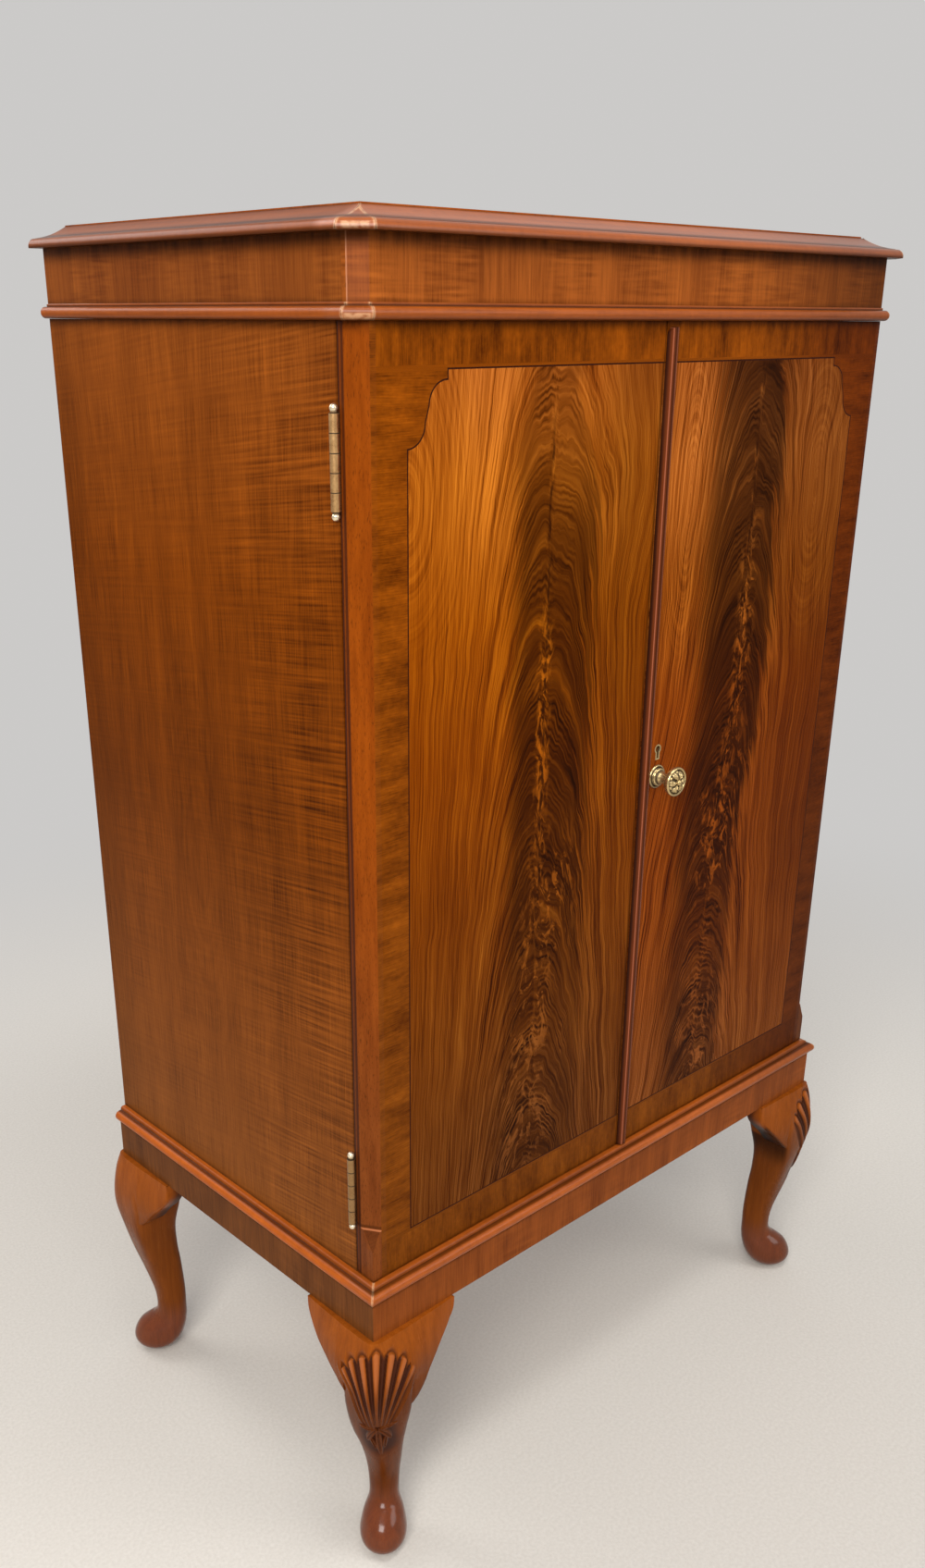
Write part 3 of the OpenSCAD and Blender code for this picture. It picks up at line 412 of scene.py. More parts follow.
def flame_wood(name, figure, tones, seed):
    """Crotch veneer: a dark plume up a spine, its figure in arches that fall steeply either side.

    A figure line has the same value of z + a^2/55 + a^3/5200, where a is the distance from the
    spine; swoop flattens the lines right of it. Noise on that value gives arched ribs by the
    spine and calm steep lines away from it; the plume's edge follows the same lines.
    """
    f = Finish(name)
    door = figure(f)
    sway = f.noise(f.z / 70, seed, 0, detail=3) * 3
    warp = f.noise(f.x / 38, f.z / 80, seed, detail=2)
    wobble = f.noise(f.x / 9, f.z / 24, seed + 1, detail=2)
    t = f.x - door["spine"] - sway
    a = abs(t + warp * 2.5)
    side = t.rise(-7, 7)
    bow = (a * a / 55 + a * a * a / 5200) * (1 - side * door["swoop"])
    line = f.z + bow + warp * 13 + wobble * 1.8 + side * 7
    part = seed + side * 1.5
    broad = f.noise(line / 160, f.z / 420, part + 1, detail=2)
    feather = f.noise(line / 34, f.z / 260, part + 2, detail=4, rough=0.62)
    fine = f.noise(line / 8, f.z / 180, seed + 5, detail=3, rough=0.65)
    fibre = f.noise(t / 0.9 + a * 0.12, line / 120, seed + 7, detail=2, rough=0.6)
    mottle = f.noise(f.x / 34, f.z / 60, seed + 8, detail=2)

    # Plume: a dark band whose edges are cut into flames by the figure lines
    scallop = f.noise(line / 17, part + 3, 0, detail=3, rough=0.6)
    reach = door["near"] + (door["far"] - door["near"]) * side
    inside = a / (reach * (1.05 + feather * 0.4 + scallop * 0.45).at_least(0.3))
    crisp = 1 + side * (0.7 + f.z.rise(930, 760) * 1.5)
    plume = ((inside - 1) * crisp + 1).rise(1.35, 0.75) * (1 - f.z.rise(760, 620) * 0.2)
    shade = inside.rise(2.3, 0.9)
    lively = (inside.rise(3.4, 1.2) * 0.45 + 0.75) * (1 + f.z.rise(1080, 900) * 0.35)
    ribs = (line * 0.82 + feather * 4 + wobble * 1.5).wave() * f.noise(
        f.x / 30, f.z / 46, seed + 9, detail=1).rise(-0.6, 0.8)
    curl = f.noise(t / 15, line / 24, seed + 11, detail=4, rough=0.62, bend=1.6)
    curls = curl.rise(0, 0.55) * door["curls"](t)
    cut = abs(t + f.noise(f.z / 20, 0, seed, detail=2) * 1.6)
    crack = (cut.rise(2.2, 0.8) * f.noise(f.z / 22, t / 20, seed + 14).rise(-0.3, 0.2)
             * f.z.bump_at(950, 270).rise(0, 0.2))

    # Wood beside the plume: the mean colour at its height, shaded and tinted by the figure
    ring = f.noise(door["around"] / 11, seed + 19, 0, detail=3, rough=0.6) * door["loops"]
    tone_value = (0.5 + ring * 0.42 + broad * 0.13 + mottle * 0.07
                  + (feather * 0.38 + fine * 0.44) * lively
                  + fibre * 0.28 + ribs * a.rise(130, 30) * 0.12).at_least(0).at_most(1.2)
    mean = f.shaded(f.ramp((f.z - 380) / 880, tones), door["even"])
    gold = f.mix(1, f.shaded(mean, 2.2), (1, 1.16, 2.4), "MULTIPLY")
    wood = f.mix(1, f.shaded(mean, tone_value * 1.7 + 0.2),
                 f.mix(tone_value, (1.08, 0.76, 0.4), (0.95, 1.16, 1.8)), "MULTIPLY")
    gilding = door["gilt"](t) * (feather * 0.7 + fine * 0.6 + 0.15).rise(-0.2, 0.9)
    wood = f.mix(gilding * 0.75, wood, gold)
    wood = f.shaded(wood, 1 - shade * (0.5 - feather * 0.8).at_least(0) * 0.4)

    # The plume's own wood: darker above the foot, paler again at the left door's head
    right = f.x.rise(-5, 5)
    depth = (f.z.rise(560, 700) * 0.24 - f.z.rise(1060, 1200) * 0.3 * (1 - right)
             + right * (f.z.rise(620, 480) * 0.16 + 0.09))
    rib = ribs * 0.45 + feather * 0.7 + scallop * 0.2 + fine * 0.7 + 1
    rib = rib.at_least(0.2).at_most(2.4)
    dark = f.mix(1, f.shaded(mean, rib * (0.56 - depth)),
                 f.mix(rib - 0.6, (0.95, 0.8, 0.7), (1, 1.05, 1.6)), "MULTIPLY")
    flames = (feather * 0.7 + scallop * 0.7).rise(0, 0.9)
    share = plume * (1 - curls * 0.5) * (1 - flames * (0.62 - side * 0.25))
    colour = f.mix(share, wood, dark)

    # Gold over both: curls, a glow beside the plume, its far outline, knots and arches
    knots = f.noise(t / 7, f.z / 16, seed + 17, detail=3, bend=1)
    gilded = ((curls, 0.78),
              (inside.bump_at(1.45, 0.45) * (feather + fine * 0.6).rise(0, 1), 0.5),
              (inside.bump_at(1.18, 0.12) * side * f.z.rise(1010, 930) * scallop.rise(-0.6, 0.4),
               0.6),
              (knots.rise(0, 0.5) * t.bump_at(0, 13) * f.z.bump_at(840, 230).rise(0, 0.5), 0.75),
              (ribs.rise(0.15, 0.9) * f.z.rise(640, 540) * a.rise(80, 30), 0.35))
    for place, strength in gilded:
        colour = f.mix(place * strength, colour, gold)
    colour = f.mix(crack * 0.8, colour, linear(40, 14, 2))
    tick = pores(f, t + a * 0.2, line / 3, f.y, seed)
    # Pores, and painted shadow by the astragal at the left door's meeting edge
    colour = f.shaded(colour, (1 - tick * 0.22) * (1 - f.x.bump_at(-5.5, 4) * 0.55))
    rough = 0.27 + fine * 0.02 + tick * 0.06
    height = feather * 0.2 + fine * 0.3 - tick * 0.5
    return f.finish(colour, rough, height, 0.02, gloss=0.02)


def left_figure(f):
    """The left door's plan of its veneer.

    near and far are the plume's reach left and right of the spine; even is the brightness;
    around and loops are long ovals high on the hinge side and their strength. gilt and curls say
    where the wood is golden and where it curls; both take the distance right of the spine.
    """
    x, z = f.x, f.z
    return {
        "spine": f.noise(z / 160, 3, 1, detail=1) * 2 - 155,
        "near": 38 - z.rise(1150, 1220) * 16 + z.rise(560, 460) * 14,
        "far": 62 - z.rise(1110, 1215) * 34,
        "swoop": z.rise(960, 1130) * 0.55,
        "even": 1 - x.rise(-130, -40) * z.rise(600, 1000) * 0.34,
        "around": oval(x + 330, z - 1120, 5),
        "loops": z.rise(960, 1060) * x.rise(-225, -265),
        "gilt": lambda t: (z.rise(980, 1100) * t.bump_at(-80, 60)
                           + z.bump_at(1085, 70) * t.bump_at(88, 34)).at_most(1),
        "curls": lambda t: (z.bump_at(715, 110) * t.bump_at(20, 66)
                            + z.bump_at(610, 90) * t.bump_at(-6, 40) * 1.6
                            + z.rise(620, 520) * t.bump_at(-14, 80) * 0.8
                            + z.bump_at(900, 160) * t.bump_at(-4, 14)).at_most(1),
    }


def right_figure(f):
    """The right door's plan, as the left one's: brighter and golder by the meeting edge.

    Its ovals stand high by the meeting edge and towards the hinges.
    """
    x, z = f.x, f.z
    inner = oval(x - 50, z - 1090, 22)
    outer = oval(x - 275, z - 1090, 8)
    return {
        "spine": z.rise(690, 890) * 24 + 134 + f.noise(z / 140, 8, 1, detail=1) * 3,
        "near": z.rise(640, 1000) * 13 + 52,
        "far": 44 - z.rise(1190, 1230) * 8,
        "swoop": z.rise(1100, 1200) * 0.3,
        "even": (1.18 - x.rise(60, 320) * z.rise(420, 700) * 0.46
                 + x.rise(190, 60) * z.rise(1020, 1120) * 0.2),
        "around": inner + (outer - inner) * x.rise(150, 160),
        "loops": z.rise(900, 980) * (x.rise(95, 70) + x.rise(215, 250) * 0.7),
        "gilt": lambda t: (z.rise(1040, 930) * t.bump_at(-112, 62)
                           + z.bump_at(900, 90) * t.bump_at(62, 40) * 0.6
                           + z.bump_at(700, 220) * t.bump_at(80, 60) * 0.8).at_most(1),
        "curls": lambda t: (z.bump_at(720, 170) * t.bump_at(12, 72)
                            + z.rise(600, 490) * t.bump_at(16, 88) * 0.7
                            + z.bump_at(930, 170) * t.bump_at(4, 24)).at_most(1),
    }


# Doors' mean colour by height, darker to the foot: partly the veneer's, partly painted shade
LEFT_TONES = by_height((90, 46, 10), (96, 49, 9), (105, 52, 6), (109, 51, 3), (122, 57, 2),
                       (136, 67, 3), (154, 82, 12), (140, 72, 18))
RIGHT_TONES = by_height((98, 50, 12), (99, 47, 8), (104, 46, 4), (104, 44, 3), (109, 47, 3),
                        (124, 62, 8), (138, 74, 20), (114, 57, 14))


def crossband_figure(f, upright):
    """Crossbanding: short grain square to the door's edge, with wide ripples along the band.

    Returns its colour, its fibres and its pores.
    """
    across = f.z + (f.x - f.z) * upright
    along = f.x + (f.z - f.x) * upright
    bars = f.noise(across / 13, along / 60, 3, detail=3, rough=0.5)
    wide = f.noise(across / 55, along / 90, 6, detail=1)
    fibre = f.noise(across / 1.1, along / 26, 2, detail=2, rough=0.6)
    mottle = f.noise(across / 5, along / 7, 9, detail=3, rough=0.6)
    tick = pores(f, across, along, f.y, 5)
    height_share = f.z.rise(480, 1100)
    dark = f.mix(height_share, linear(72, 30, 4), linear(68, 26, 1))
    light = f.mix(height_share, linear(142, 76, 16), linear(160, 80, 8))
    value = 0.46 + bars * 0.34 + wide * 0.2 + fibre * 0.26 + mottle * 0.16
    # Darker to the right and at the foot; painted shade under the lid's bead and by the base
    far = (1 - f.x.rise(120, 350) * 0.5) * (1 - f.z.rise(430, 395) * 0.12)
    far = far * f.painted_corner_shade()
    colour = f.mix(value.clamped(), dark, light)
    colour = f.mix(f.x.rise(150, 350), colour, f.mix(1, colour, (1, 0.8, 1.1), "MULTIPLY"))
    return f.shaded(colour, (1 - tick * 0.25) * far), fibre, tick


def crossband_wood(name):
    """Crossbanding round a door: its grain turns where the side lengths meet the head and foot."""
    f = Finish(name)
    upright = f.z.rise(407, 401).at_least(f.z.rise(1221, 1226))
    colour, fibre, tick = crossband_figure(f, upright)
    rough = 0.32 + fibre * 0.03 + tick * 0.08
    return f.finish(colour, rough, fibre * 0.2 - tick * 0.6, 0.04, gloss=0.02)


def stile_wood():
    """The doors' outer stiles: open-pored chamfer, dark edge, crossbanding on the flat in front."""
    f = Finish("stile_mahogany")
    fibre = f.noise((f.x + f.y) / 1.4, f.z / 50, 2, detail=3, rough=0.6)
    band = f.noise((f.x + f.y) / 7, f.z / 300, 4, detail=3)
    tick = f.noise(f.x / 0.9, f.y / 0.9, f.z / 5, detail=1.5, rough=0.6).rise(0.15, 0.75)
    high = f.z.rise(450, 900)
    dark = f.mix(high, linear(80, 32, 8), linear(88, 32, 2))
    light = f.mix(high, linear(142, 76, 30), linear(166, 80, 12))
    value = (0.5 + band * 0.22 + fibre * 0.24).clamped()
    # Painted shade on the right stile and under the lid's bead
    far = 1 - f.x.rise(120, 360) * 0.45
    solid = f.shaded(f.mix(value, dark, light), (1 - tick * 0.45) * far * f.painted_corner_shade())
    banded, _, _ = crossband_figure(f, 0)
    front = abs(f.x).rise(HALF_WIDTH - 11.4, HALF_WIDTH - 12)
    # Painted shade above the chamfer's ledge, and a painted highlight along the ledge
    solid = f.shaded(solid, 1 - f.z.bump_at(CHAMFER_LEDGE + 3.9, 3) * 0.5)
    solid = f.mix(f.z.bump_at(CHAMFER_LEDGE + 1, 1.1) * f.y.rise(-207, -209) * 0.6, solid,
                  linear(206, 128, 84))
    colour = f.mix(front, solid, banded)
    # Painted shade on the edge face and the back, from the piece's mark
    shadow = f.mark("carve")
    colour = f.mix(shadow * 0.9, colour, linear(44, 18, 12))
    rough = 0.3 + fibre * 0.03 + tick * 0.1
    return f.finish(colour, rough, fibre * 0.2 - tick * 0.6, 0.05, gloss=0.04)


def astragal_wood():
    """The half-round on the meeting edge: three dark lines and painted highlights between them."""
    f = Finish("astragal_mahogany")
    fibre = f.noise(f.x / 1.2, f.z / 50, 14, detail=3, rough=0.6)
    band = f.noise(f.x / 5, f.z / 200, 15, detail=2)
    value = (0.5 + band * 0.2 + fibre * 0.2).clamped()
    # Painted shade: dark lines at both edges and down the middle
    groove = (f.x.bump_at(-3.2, 2.2) * 0.75 + f.x.bump_at(3.6, 1.5) * 0.6
              + f.x.bump_at(11.4, 1.6) * 0.6)
    colour = f.shaded(f.mix(value, linear(62, 24, 8), linear(116, 54, 22)),
                      (1 - groove) * f.painted_corner_shade())
    # Painted highlights on the two crowns
    painted_highlight = f.x.bump_at(0.4, 0.9) + f.x.bump_at(6.6, 0.9) * 0.8
    colour = f.mix(painted_highlight * 0.5, colour, linear(196, 116, 84))
    return f.finish(colour, 0.26 + fibre * 0.03, fibre, 0.02, gloss=0.07)


def aged_brass(name, dark, light, shine=0.3, joints=False):
    """Old mottled brass, brown in the hollows and painted shade that a piece's mark holds.

    With joints it is the door hinges': dark lines between the knuckles and below the balls, a
    painted highlight on the balls, and painted shade on the lower hinge's barrel.
    """
    f = Finish(name)
    spots = f.noise(f.x / 2.2, f.y / 2.2, f.z / 2.2, detail=3, rough=0.6)
    cloud = f.noise(f.x / 12, f.y / 12, f.z / 12, detail=2)
    hollow = f.mark("carve").rise(0, 1)
    share = (0.5 + spots * 0.2 + cloud * 0.25).clamped()
    colour = f.mix(share, dark, light)
    if joints:
        upper = f.z.rise(BETWEEN_HINGES, BETWEEN_HINGES + 1)
        place = f.z - HINGE_LEVELS[0] - upper * (HINGE_LEVELS[1] - HINGE_LEVELS[0])
        knuckle, half = HINGE_LONG / KNUCKLES, HINGE_LONG / 2
        nearest = ((place / knuckle + 20.5).fraction() - 0.5) * knuckle
        ends = abs(place - half)
        line = abs(nearest).rise(0.75, 0.3) * ends.rise(half + 1.5, half + 1)
        # Painted highlight: the balls pale
        ball = ends.rise(half + 0.9, half + 1.6)
        colour = f.mix(ball, colour, linear(244, 228, 196))
        hollow = hollow.at_least(line).at_least(ends.bump_at(half + 0.9, 0.9))
        # Painted shade on the lower hinge's barrel
        lower = f.z.rise(BETWEEN_HINGES, BETWEEN_HINGES - 1)
        lower_barrel = lower * ends.rise(half + 1.2, half + 0.8)
        colour = f.shaded(colour, 1 - lower_barrel * 0.52)
    # Brown: patina in hollows, joint lines and painted shade
    colour = f.mix(hollow * 0.94, colour, linear(44, 28, 12))
    rough = shine + spots * 0.05 + cloud * 0.05 + hollow * 0.2
    return f.finish(colour, rough, spots, 0.01, metallic=0.9 - hollow * 0.75, gloss=0.3)


def mirror_glass():
    """Silvered glass with a little clouding."""
    f = Finish("mirror_glass")
    cloud = f.noise(f.x / 80, f.y / 80, f.z / 80, detail=3)
    spots = f.noise(f.x / 6, f.y / 6, f.z / 6, detail=2).rise(0.9, 1.3)
    colour = f.mix(spots * 0.5, (0.86, 0.88, 0.88), (0.45, 0.42, 0.38))
    return f.finish(colour, 0.03 + cloud.rise(0.2, 1.4) * 0.05 + spots * 0.2, metallic=1)


def dark_line():
    """Dyed stringing line, almost black."""
    f = Finish("stringing_line")
    fibre = f.noise(f.x / 1.2, f.z / 1.2, f.y, detail=2)
    return f.finish(f.mix(fibre.rise(-1, 1), linear(34, 14, 8), linear(58, 26, 14)),
                    0.35 + fibre * 0.03, fibre, 0.01, gloss=0.02)


BACKDROP = (0.60, 0.59, 0.58, 1)


def pale_floor():
    """Plain pale floor with a faint even tooth; to the camera it runs out into the backdrop."""
    f = Finish("studio_floor")
    tooth = f.noise(f.x / 4, f.y / 4, 0, detail=2)
    surface = f.surface(f.mix(tooth.rise(-1, 1), (0.60, 0.56, 0.50), (0.66, 0.62, 0.56)),
                        0.8, tooth, 0.1, gloss=0.1)
    away = (f.x * f.x + f.y * f.y) ** 0.5
    seen = f.node("ShaderNodeLightPath", {}, out="Is Camera Ray")
    plain = f.node("ShaderNodeEmission", {}, BACKDROP)
    return f.shown(f.node("ShaderNodeMixShader", {}, away.rise(700, 2300) * seen, surface, plain))


RED_DARK, RED_LIGHT = linear(84, 32, 6), linear(182, 92, 26)

finishes = {
    "side": side_wood(),
    "stile": stile_wood(),
    "frieze": grain_wood("frieze_mahogany", "xzy", linear(96, 42, 10), linear(178, 96, 34),
                         seed=3, ripple=0.34, ripple_step=3.2, fade=0.6, cant=0.5),
    "frieze_side": grain_wood("frieze_side_mahogany", "yzx", linear(86, 36, 8),
                              linear(152, 82, 28), seed=3.5, ripple=0.3, ripple_step=3.2),
    "apron": grain_wood("apron_mahogany", "xzy", linear(80, 34, 10), linear(156, 82, 32), seed=4,
                        ripple=0.2),
    "apron_side": grain_wood("apron_side_mahogany", "yzx", linear(60, 30, 10),
                             linear(122, 70, 30), seed=4.5, ripple=0.2),
    "moulding": grain_wood("moulding_mahogany", "zxy", RED_DARK, RED_LIGHT, seed=5),
    "top": grain_wood("top_mahogany", "yxz", RED_DARK, RED_LIGHT, seed=6, ripple=0.12),
    "run": run_wood("moulding_run_mahogany", RED_DARK, RED_LIGHT, seed=12),
    "leg": leg_wood(),
    "inner": grain_wood("inner_mahogany", "yxz", linear(120, 66, 32), linear(186, 122, 70),
                        seed=8, rough=0.45, coat=0.15),
    "back": grain_wood("back_board", "xzy", linear(112, 70, 40), linear(168, 116, 72), seed=9,
                       rough=0.6, coat=0),
    "core": grain_wood("door_edge_mahogany", "xzy", linear(80, 40, 16), linear(132, 74, 34),
                       seed=10),
    "band": crossband_wood("crossband_mahogany"),
    "left_flame": flame_wood("left_flame_mahogany", left_figure, LEFT_TONES, 1),
    "right_flame": flame_wood("right_flame_mahogany", right_figure, RIGHT_TONES, 21),
    "line": dark_line(),
    "brass": aged_brass("aged_brass", linear(150, 104, 56), linear(236, 190, 124)),
    "hinge_brass": aged_brass("hinge_brass", linear(186, 132, 80), linear(240, 196, 136), 0.3,
                              True),
    "knob_brass": aged_brass("rubbed_brass", linear(160, 130, 78), linear(242, 216, 160), 0.2),
    "astragal": astragal_wood(),
    "mirror": mirror_glass(),
}

NODE_FINISH = {
    "side": "left_side right_side",
    "stile": "left_door_stile right_door_stile",
    "frieze": "lid_front_rail lid_back_rail",
    "frieze_side": "lid_left_rail lid_right_rail",
    "apron": "front_apron back_apron front_knee_blocks back_knee_blocks",
    "apron_side": "left_apron right_apron",
    "moulding": "base_moulding lid_moulding lid_bead case_sill",
    "top": "lid_panel",
    "leg": "front_left_leg front_right_leg back_left_leg back_right_leg",
    "inner": "case_bottom well_deck shelf well_fascia",
    "back": "case_back case_back_rail",
    "core": "left_door_core right_door_core",
    "band": "left_crossband right_crossband",
    "left_flame": "left_flame_veneer",
    "right_flame": "right_flame_veneer",
    "line": "left_stringing right_stringing",
    "mirror": "lid_mirror",
    "astragal": "astragal",
    "knob_brass": "knob knob_rose escutcheon",
    "hinge_brass": ("left_hinge_case_leaves left_hinge_door_leaves left_hinge_pins "
                    "right_hinge_case_leaves right_hinge_door_leaves right_hinge_pins"),
    "brass": ("shelf_pegs knob_screw lock_case lock_bolt strike_plate foot_bolt foot_bolt_plate "
              "lid_hinge_case_leaves lid_hinge_lid_leaves lid_hinge_pins lid_stay stay_keeper"),
}
for finish_name, names in NODE_FINISH.items():
    for node_name in names.split():
        mesh = nodes[node_name].data
        mesh.materials.clear()
        mesh.materials.append(finishes[finish_name])


# The shapes
def lattice(rows, columns, closed=False):
    """Quads between neighbouring rows of a grid, each a ring; closed joins last to first."""
    start = np.arange(rows if closed else rows - 1)[:, None] * columns
    after = (start + columns) % (rows * columns)
    j = np.arange(columns)[None, :]
    k = (j + 1) % columns
    return np.stack([start + j, start + k, after + k, after + j], -1).reshape(-1, 4)


def tube(rows, columns, inside_out=False):
    """The faces of rings joined to a closed form: quads along it and a cap at either end."""
    quads = lattice(rows, columns)
    caps = [np.arange(columns)[::-1], np.arange(columns) + (rows - 1) * columns]
    return (quads[:, ::-1], [cap[::-1] for cap in caps]) if inside_out else (quads, caps)


def add_piece(name, forms, finish, body, node, smooth_angle, mark="carve"):
    """Puts closed forms into the scene as one piece that rides on a body and stands for a CAD node.

    A form is its points in millimetres, its quads, its caps and what the mark holds at each point:
    how dark it is, with patina in hollows and painted shade, and below 0 a painted highlight; or
    grain, the three lengths of a moulding.
    """
    points, quads, caps, marks = [], [], [], []
    for form_points, form_quads, form_caps, form_marks in forms:
        base = sum(len(block) for block in points)
        points.append(form_points.reshape(-1, 3))
        quads.append(form_quads + base)
        caps += [cap + base for cap in form_caps]
        marks.append(np.ravel(form_marks))
    points, quads = np.concatenate(points), np.concatenate(quads)
    corners = np.concatenate([quads.ravel(), *caps])
    totals = np.array([4] * len(quads) + [len(cap) for cap in caps], np.int32)
    mesh = bpy.data.meshes.new(name)
    mesh.vertices.add(len(points))
    mesh.vertices.foreach_set("co", (points * MM).astype(np.float32).ravel())
    mesh.loops.add(len(corners))
    mesh.loops.foreach_set("vertex_index", corners.astype(np.int32))
    mesh.polygons.add(len(totals))
    mesh.polygons.foreach_set("loop_start", (np.cumsum(totals) - totals).astype(np.int32))
    kind, key = ("FLOAT_VECTOR", "vector") if mark == "grain" else ("FLOAT", "value")
    marked = mesh.attributes.new(mark, kind, "POINT")
    marked.data.foreach_set(key, np.concatenate(marks).astype(np.float32))
    mesh.update(calc_edges=True)
    mesh.validate()
    mesh.materials.append(finishes[finish])
    mesh.polygons.foreach_set("use_smooth", np.ones(len(mesh.polygons), bool))
    mesh.set_sharp_from_angle(angle=math.radians(smooth_angle))
    piece = bpy.data.objects.new(name, mesh)
    bpy.context.scene.collection.objects.link(piece)
    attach(piece, body)
    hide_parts(node)


def arc(centre, radius, start, end, count=12):
    """Points on a circle between two angles in degrees."""
    a = np.radians(np.linspace(start, end, count))
    return [(centre[0] + radius * math.cos(t), centre[1] + radius * math.sin(t)) for t in a]


# The tangent of half the angle by which a run turns at each end of a cant
HALF_TURN = math.tan(math.radians(22.5))


def dense(profile, step=1.2):
    """A closed outline with its long straight sides divided."""
    points = []
    for (ax, ay), (bx, by) in zip(profile, profile[1:] + profile[:1]):
        count = max(1, int(math.hypot(bx - ax, by - ay) / step / 4))
        points += [(ax + (bx - ax) * k / count, ay + (by - ay) * k / count) for k in range(count)]
    return np.array(points)


def mitre_in(reach, kind, whole):
    """How far a run's end moves in at a reach outwards: square, cut across, or mitred at a cant.

    Inside the apex of the cant the long runs meet each other, and the short one has closed.
    """
    depth = -reach
    apex = CANT / (1 - HALF_TURN)
    return {"cut": 0 * depth, "square": depth,
            "long": np.where(depth <= apex, depth * HALF_TURN, depth - CANT),
            "short": np.minimum(depth * HALF_TURN, whole / 2 - 0.06)}[kind]


def turn_of(outline):
    """Twice the signed area of an outline: positive when it runs anticlockwise."""
    x, y = outline.T
    return float(np.sum(x * np.roll(y, -1) - np.roll(x, -1) * y))


def mitred_runs(name, profile, runs, low, body, node):
    """Moulding lengths: one closed outline (reach outwards, height) carried along straight runs.

    A run goes from a to b, with its outward side on its right; its ends follow their mitres, with
    a hair's breadth between two. The attribute grain holds the length along the run, the length
    round the outline and the distance from the nearest mitre.
    """
    outline = dense(profile)
    outline = outline[::-1] if turn_of(outline) < 0 else outline
    reach, rise = outline.T
    length_round = np.concatenate([[0], np.cumsum(np.hypot(*np.diff(outline, axis=0).T))])
    rows, hair, uncut = 40, 0.04, 1000
    t = np.linspace(0, 1, rows)[:, None]
    share = t - 0.14 * np.sin(2 * np.pi * t)
    forms = []
    for number, (a, b, first, last) in enumerate(runs):
        a, b = np.array(a, float), np.array(b, float)
        whole = np.hypot(*(b - a))
        d = (b - a) / whole
        outwards = np.array([d[1], -d[0]])
        start = mitre_in(reach, first, whole) + hair
        end = whole - mitre_in(reach, last, whole) - hair
        along = start + (end - start) * share
        place = a + along[..., None] * d + reach[:, None] * outwards
        height = np.broadcast_to(rise + low, along.shape)
        from_mitre = np.minimum(along - start + uncut * (first == "cut"),
                                end - along + uncut * (last == "cut"))
        marks = np.stack([along + RUN_APART * number,
                          np.broadcast_to(length_round + 40 * number, along.shape),
                          np.clip(from_mitre, 0, 200)], -1)
        forms.append((np.concatenate([place, height[..., None]], -1),
                      *tube(rows, len(outline), True), marks))
    add_piece(name, forms, "run", body, node, 38, "grain")


base_outline = ([(0, 0), (8, 0), (8, 1.5)] + arc((8, 8), 6.5, -90, 96, 16)
                + [(6.4, 14.9)] + arc((3.2, 15.8), 3.2, 0, 90, 7) + [(0, 19)])
bead_outline = ([(0, -1.6), (3.6, -1.6)] + arc((3.6, 3.7), 5.3, -90, 90, 14)
                + [(1.6, 9)] + [(1.6, 11), (1.2, 11.5), (0, 11.5)])
cove = [(6.7 - 33.1 * k / 14, 9 + 11.3 * k / 14 - 1.9 * math.sin(math.pi * k / 14) ** 0.9)
        for k in range(1, 15)]
top_outline = ([(-26.4, 0), (15, 0)] + arc((8, 1.4), 7.2, 0, 88, 12) + [(6.9, 8.6), (6.7, 9)]
               + cove)

case_runs = [((-HALF_WIDTH, BACK), (-HALF_WIDTH, FRONT), "cut", "square"),
             ((-HALF_WIDTH, FRONT), (HALF_WIDTH, FRONT), "square", "square"),
             ((HALF_WIDTH, FRONT), (HALF_WIDTH, BACK), "square", "cut")]
lid_corner = [(-HALF_WIDTH, BACK), (-HALF_WIDTH, FRONT + CANT), (-HALF_WIDTH + CANT, FRONT),
              (HALF_WIDTH - CANT, FRONT), (HALF_WIDTH, FRONT + CANT), (HALF_WIDTH, BACK)]
lid_ends = [("cut", "long"), ("short", "short"), ("long", "long"), ("short", "short"),
            ("long", "cut")]
lid_runs = [(lid_corner[k], lid_corner[k + 1], *lid_ends[k]) for k in range(5)]
mitred_runs("base_moulding_run", base_outline, case_runs, FRAME_TOP, "carcase", "base_moulding")
mitred_runs("lid_bead_run", bead_outline, lid_runs, LID_LOW, "lid", "lid_bead")
mitred_runs("lid_moulding_run", top_outline, lid_runs, RAIL_TOP, "lid", "lid_moulding")


# Legs, to the foot and then over it: share of that drop, outer edge, inner edge, half width,
# squareness
LEG_DROP, FOOT_HEIGHT = FRAME_LOW, 56
LEG_UPPER = [(0, 4, -78, 41, 6), (0.09, 11, -76, 43.5, 6), (0.21, 15.5, -70, 43.5, 5),
             (0.31, 15, -65, 39.5, 5), (0.44, 7, -58, 37, 4.2), (0.57, -2, -58, 29.5, 3.4),
             (0.69, -12, -61, 23, 2.8), (0.85, -24, -63.5, 18, 2.3), (0.96, -26, -63.5, 16.5, 2.1)]
LEG_FOOT = [(0.03, -21, -63.5, 16.8, 2), (0.14, -12, -63, 18.5, 2), (0.32, 0, -61.5, 22.8, 2),
            (0.59, 7, -57, 26, 2), (0.79, 5.5, -50, 24, 2), (0.93, -4, -40, 16.5, 2),
            (1, -12, -32, 10, 2)]


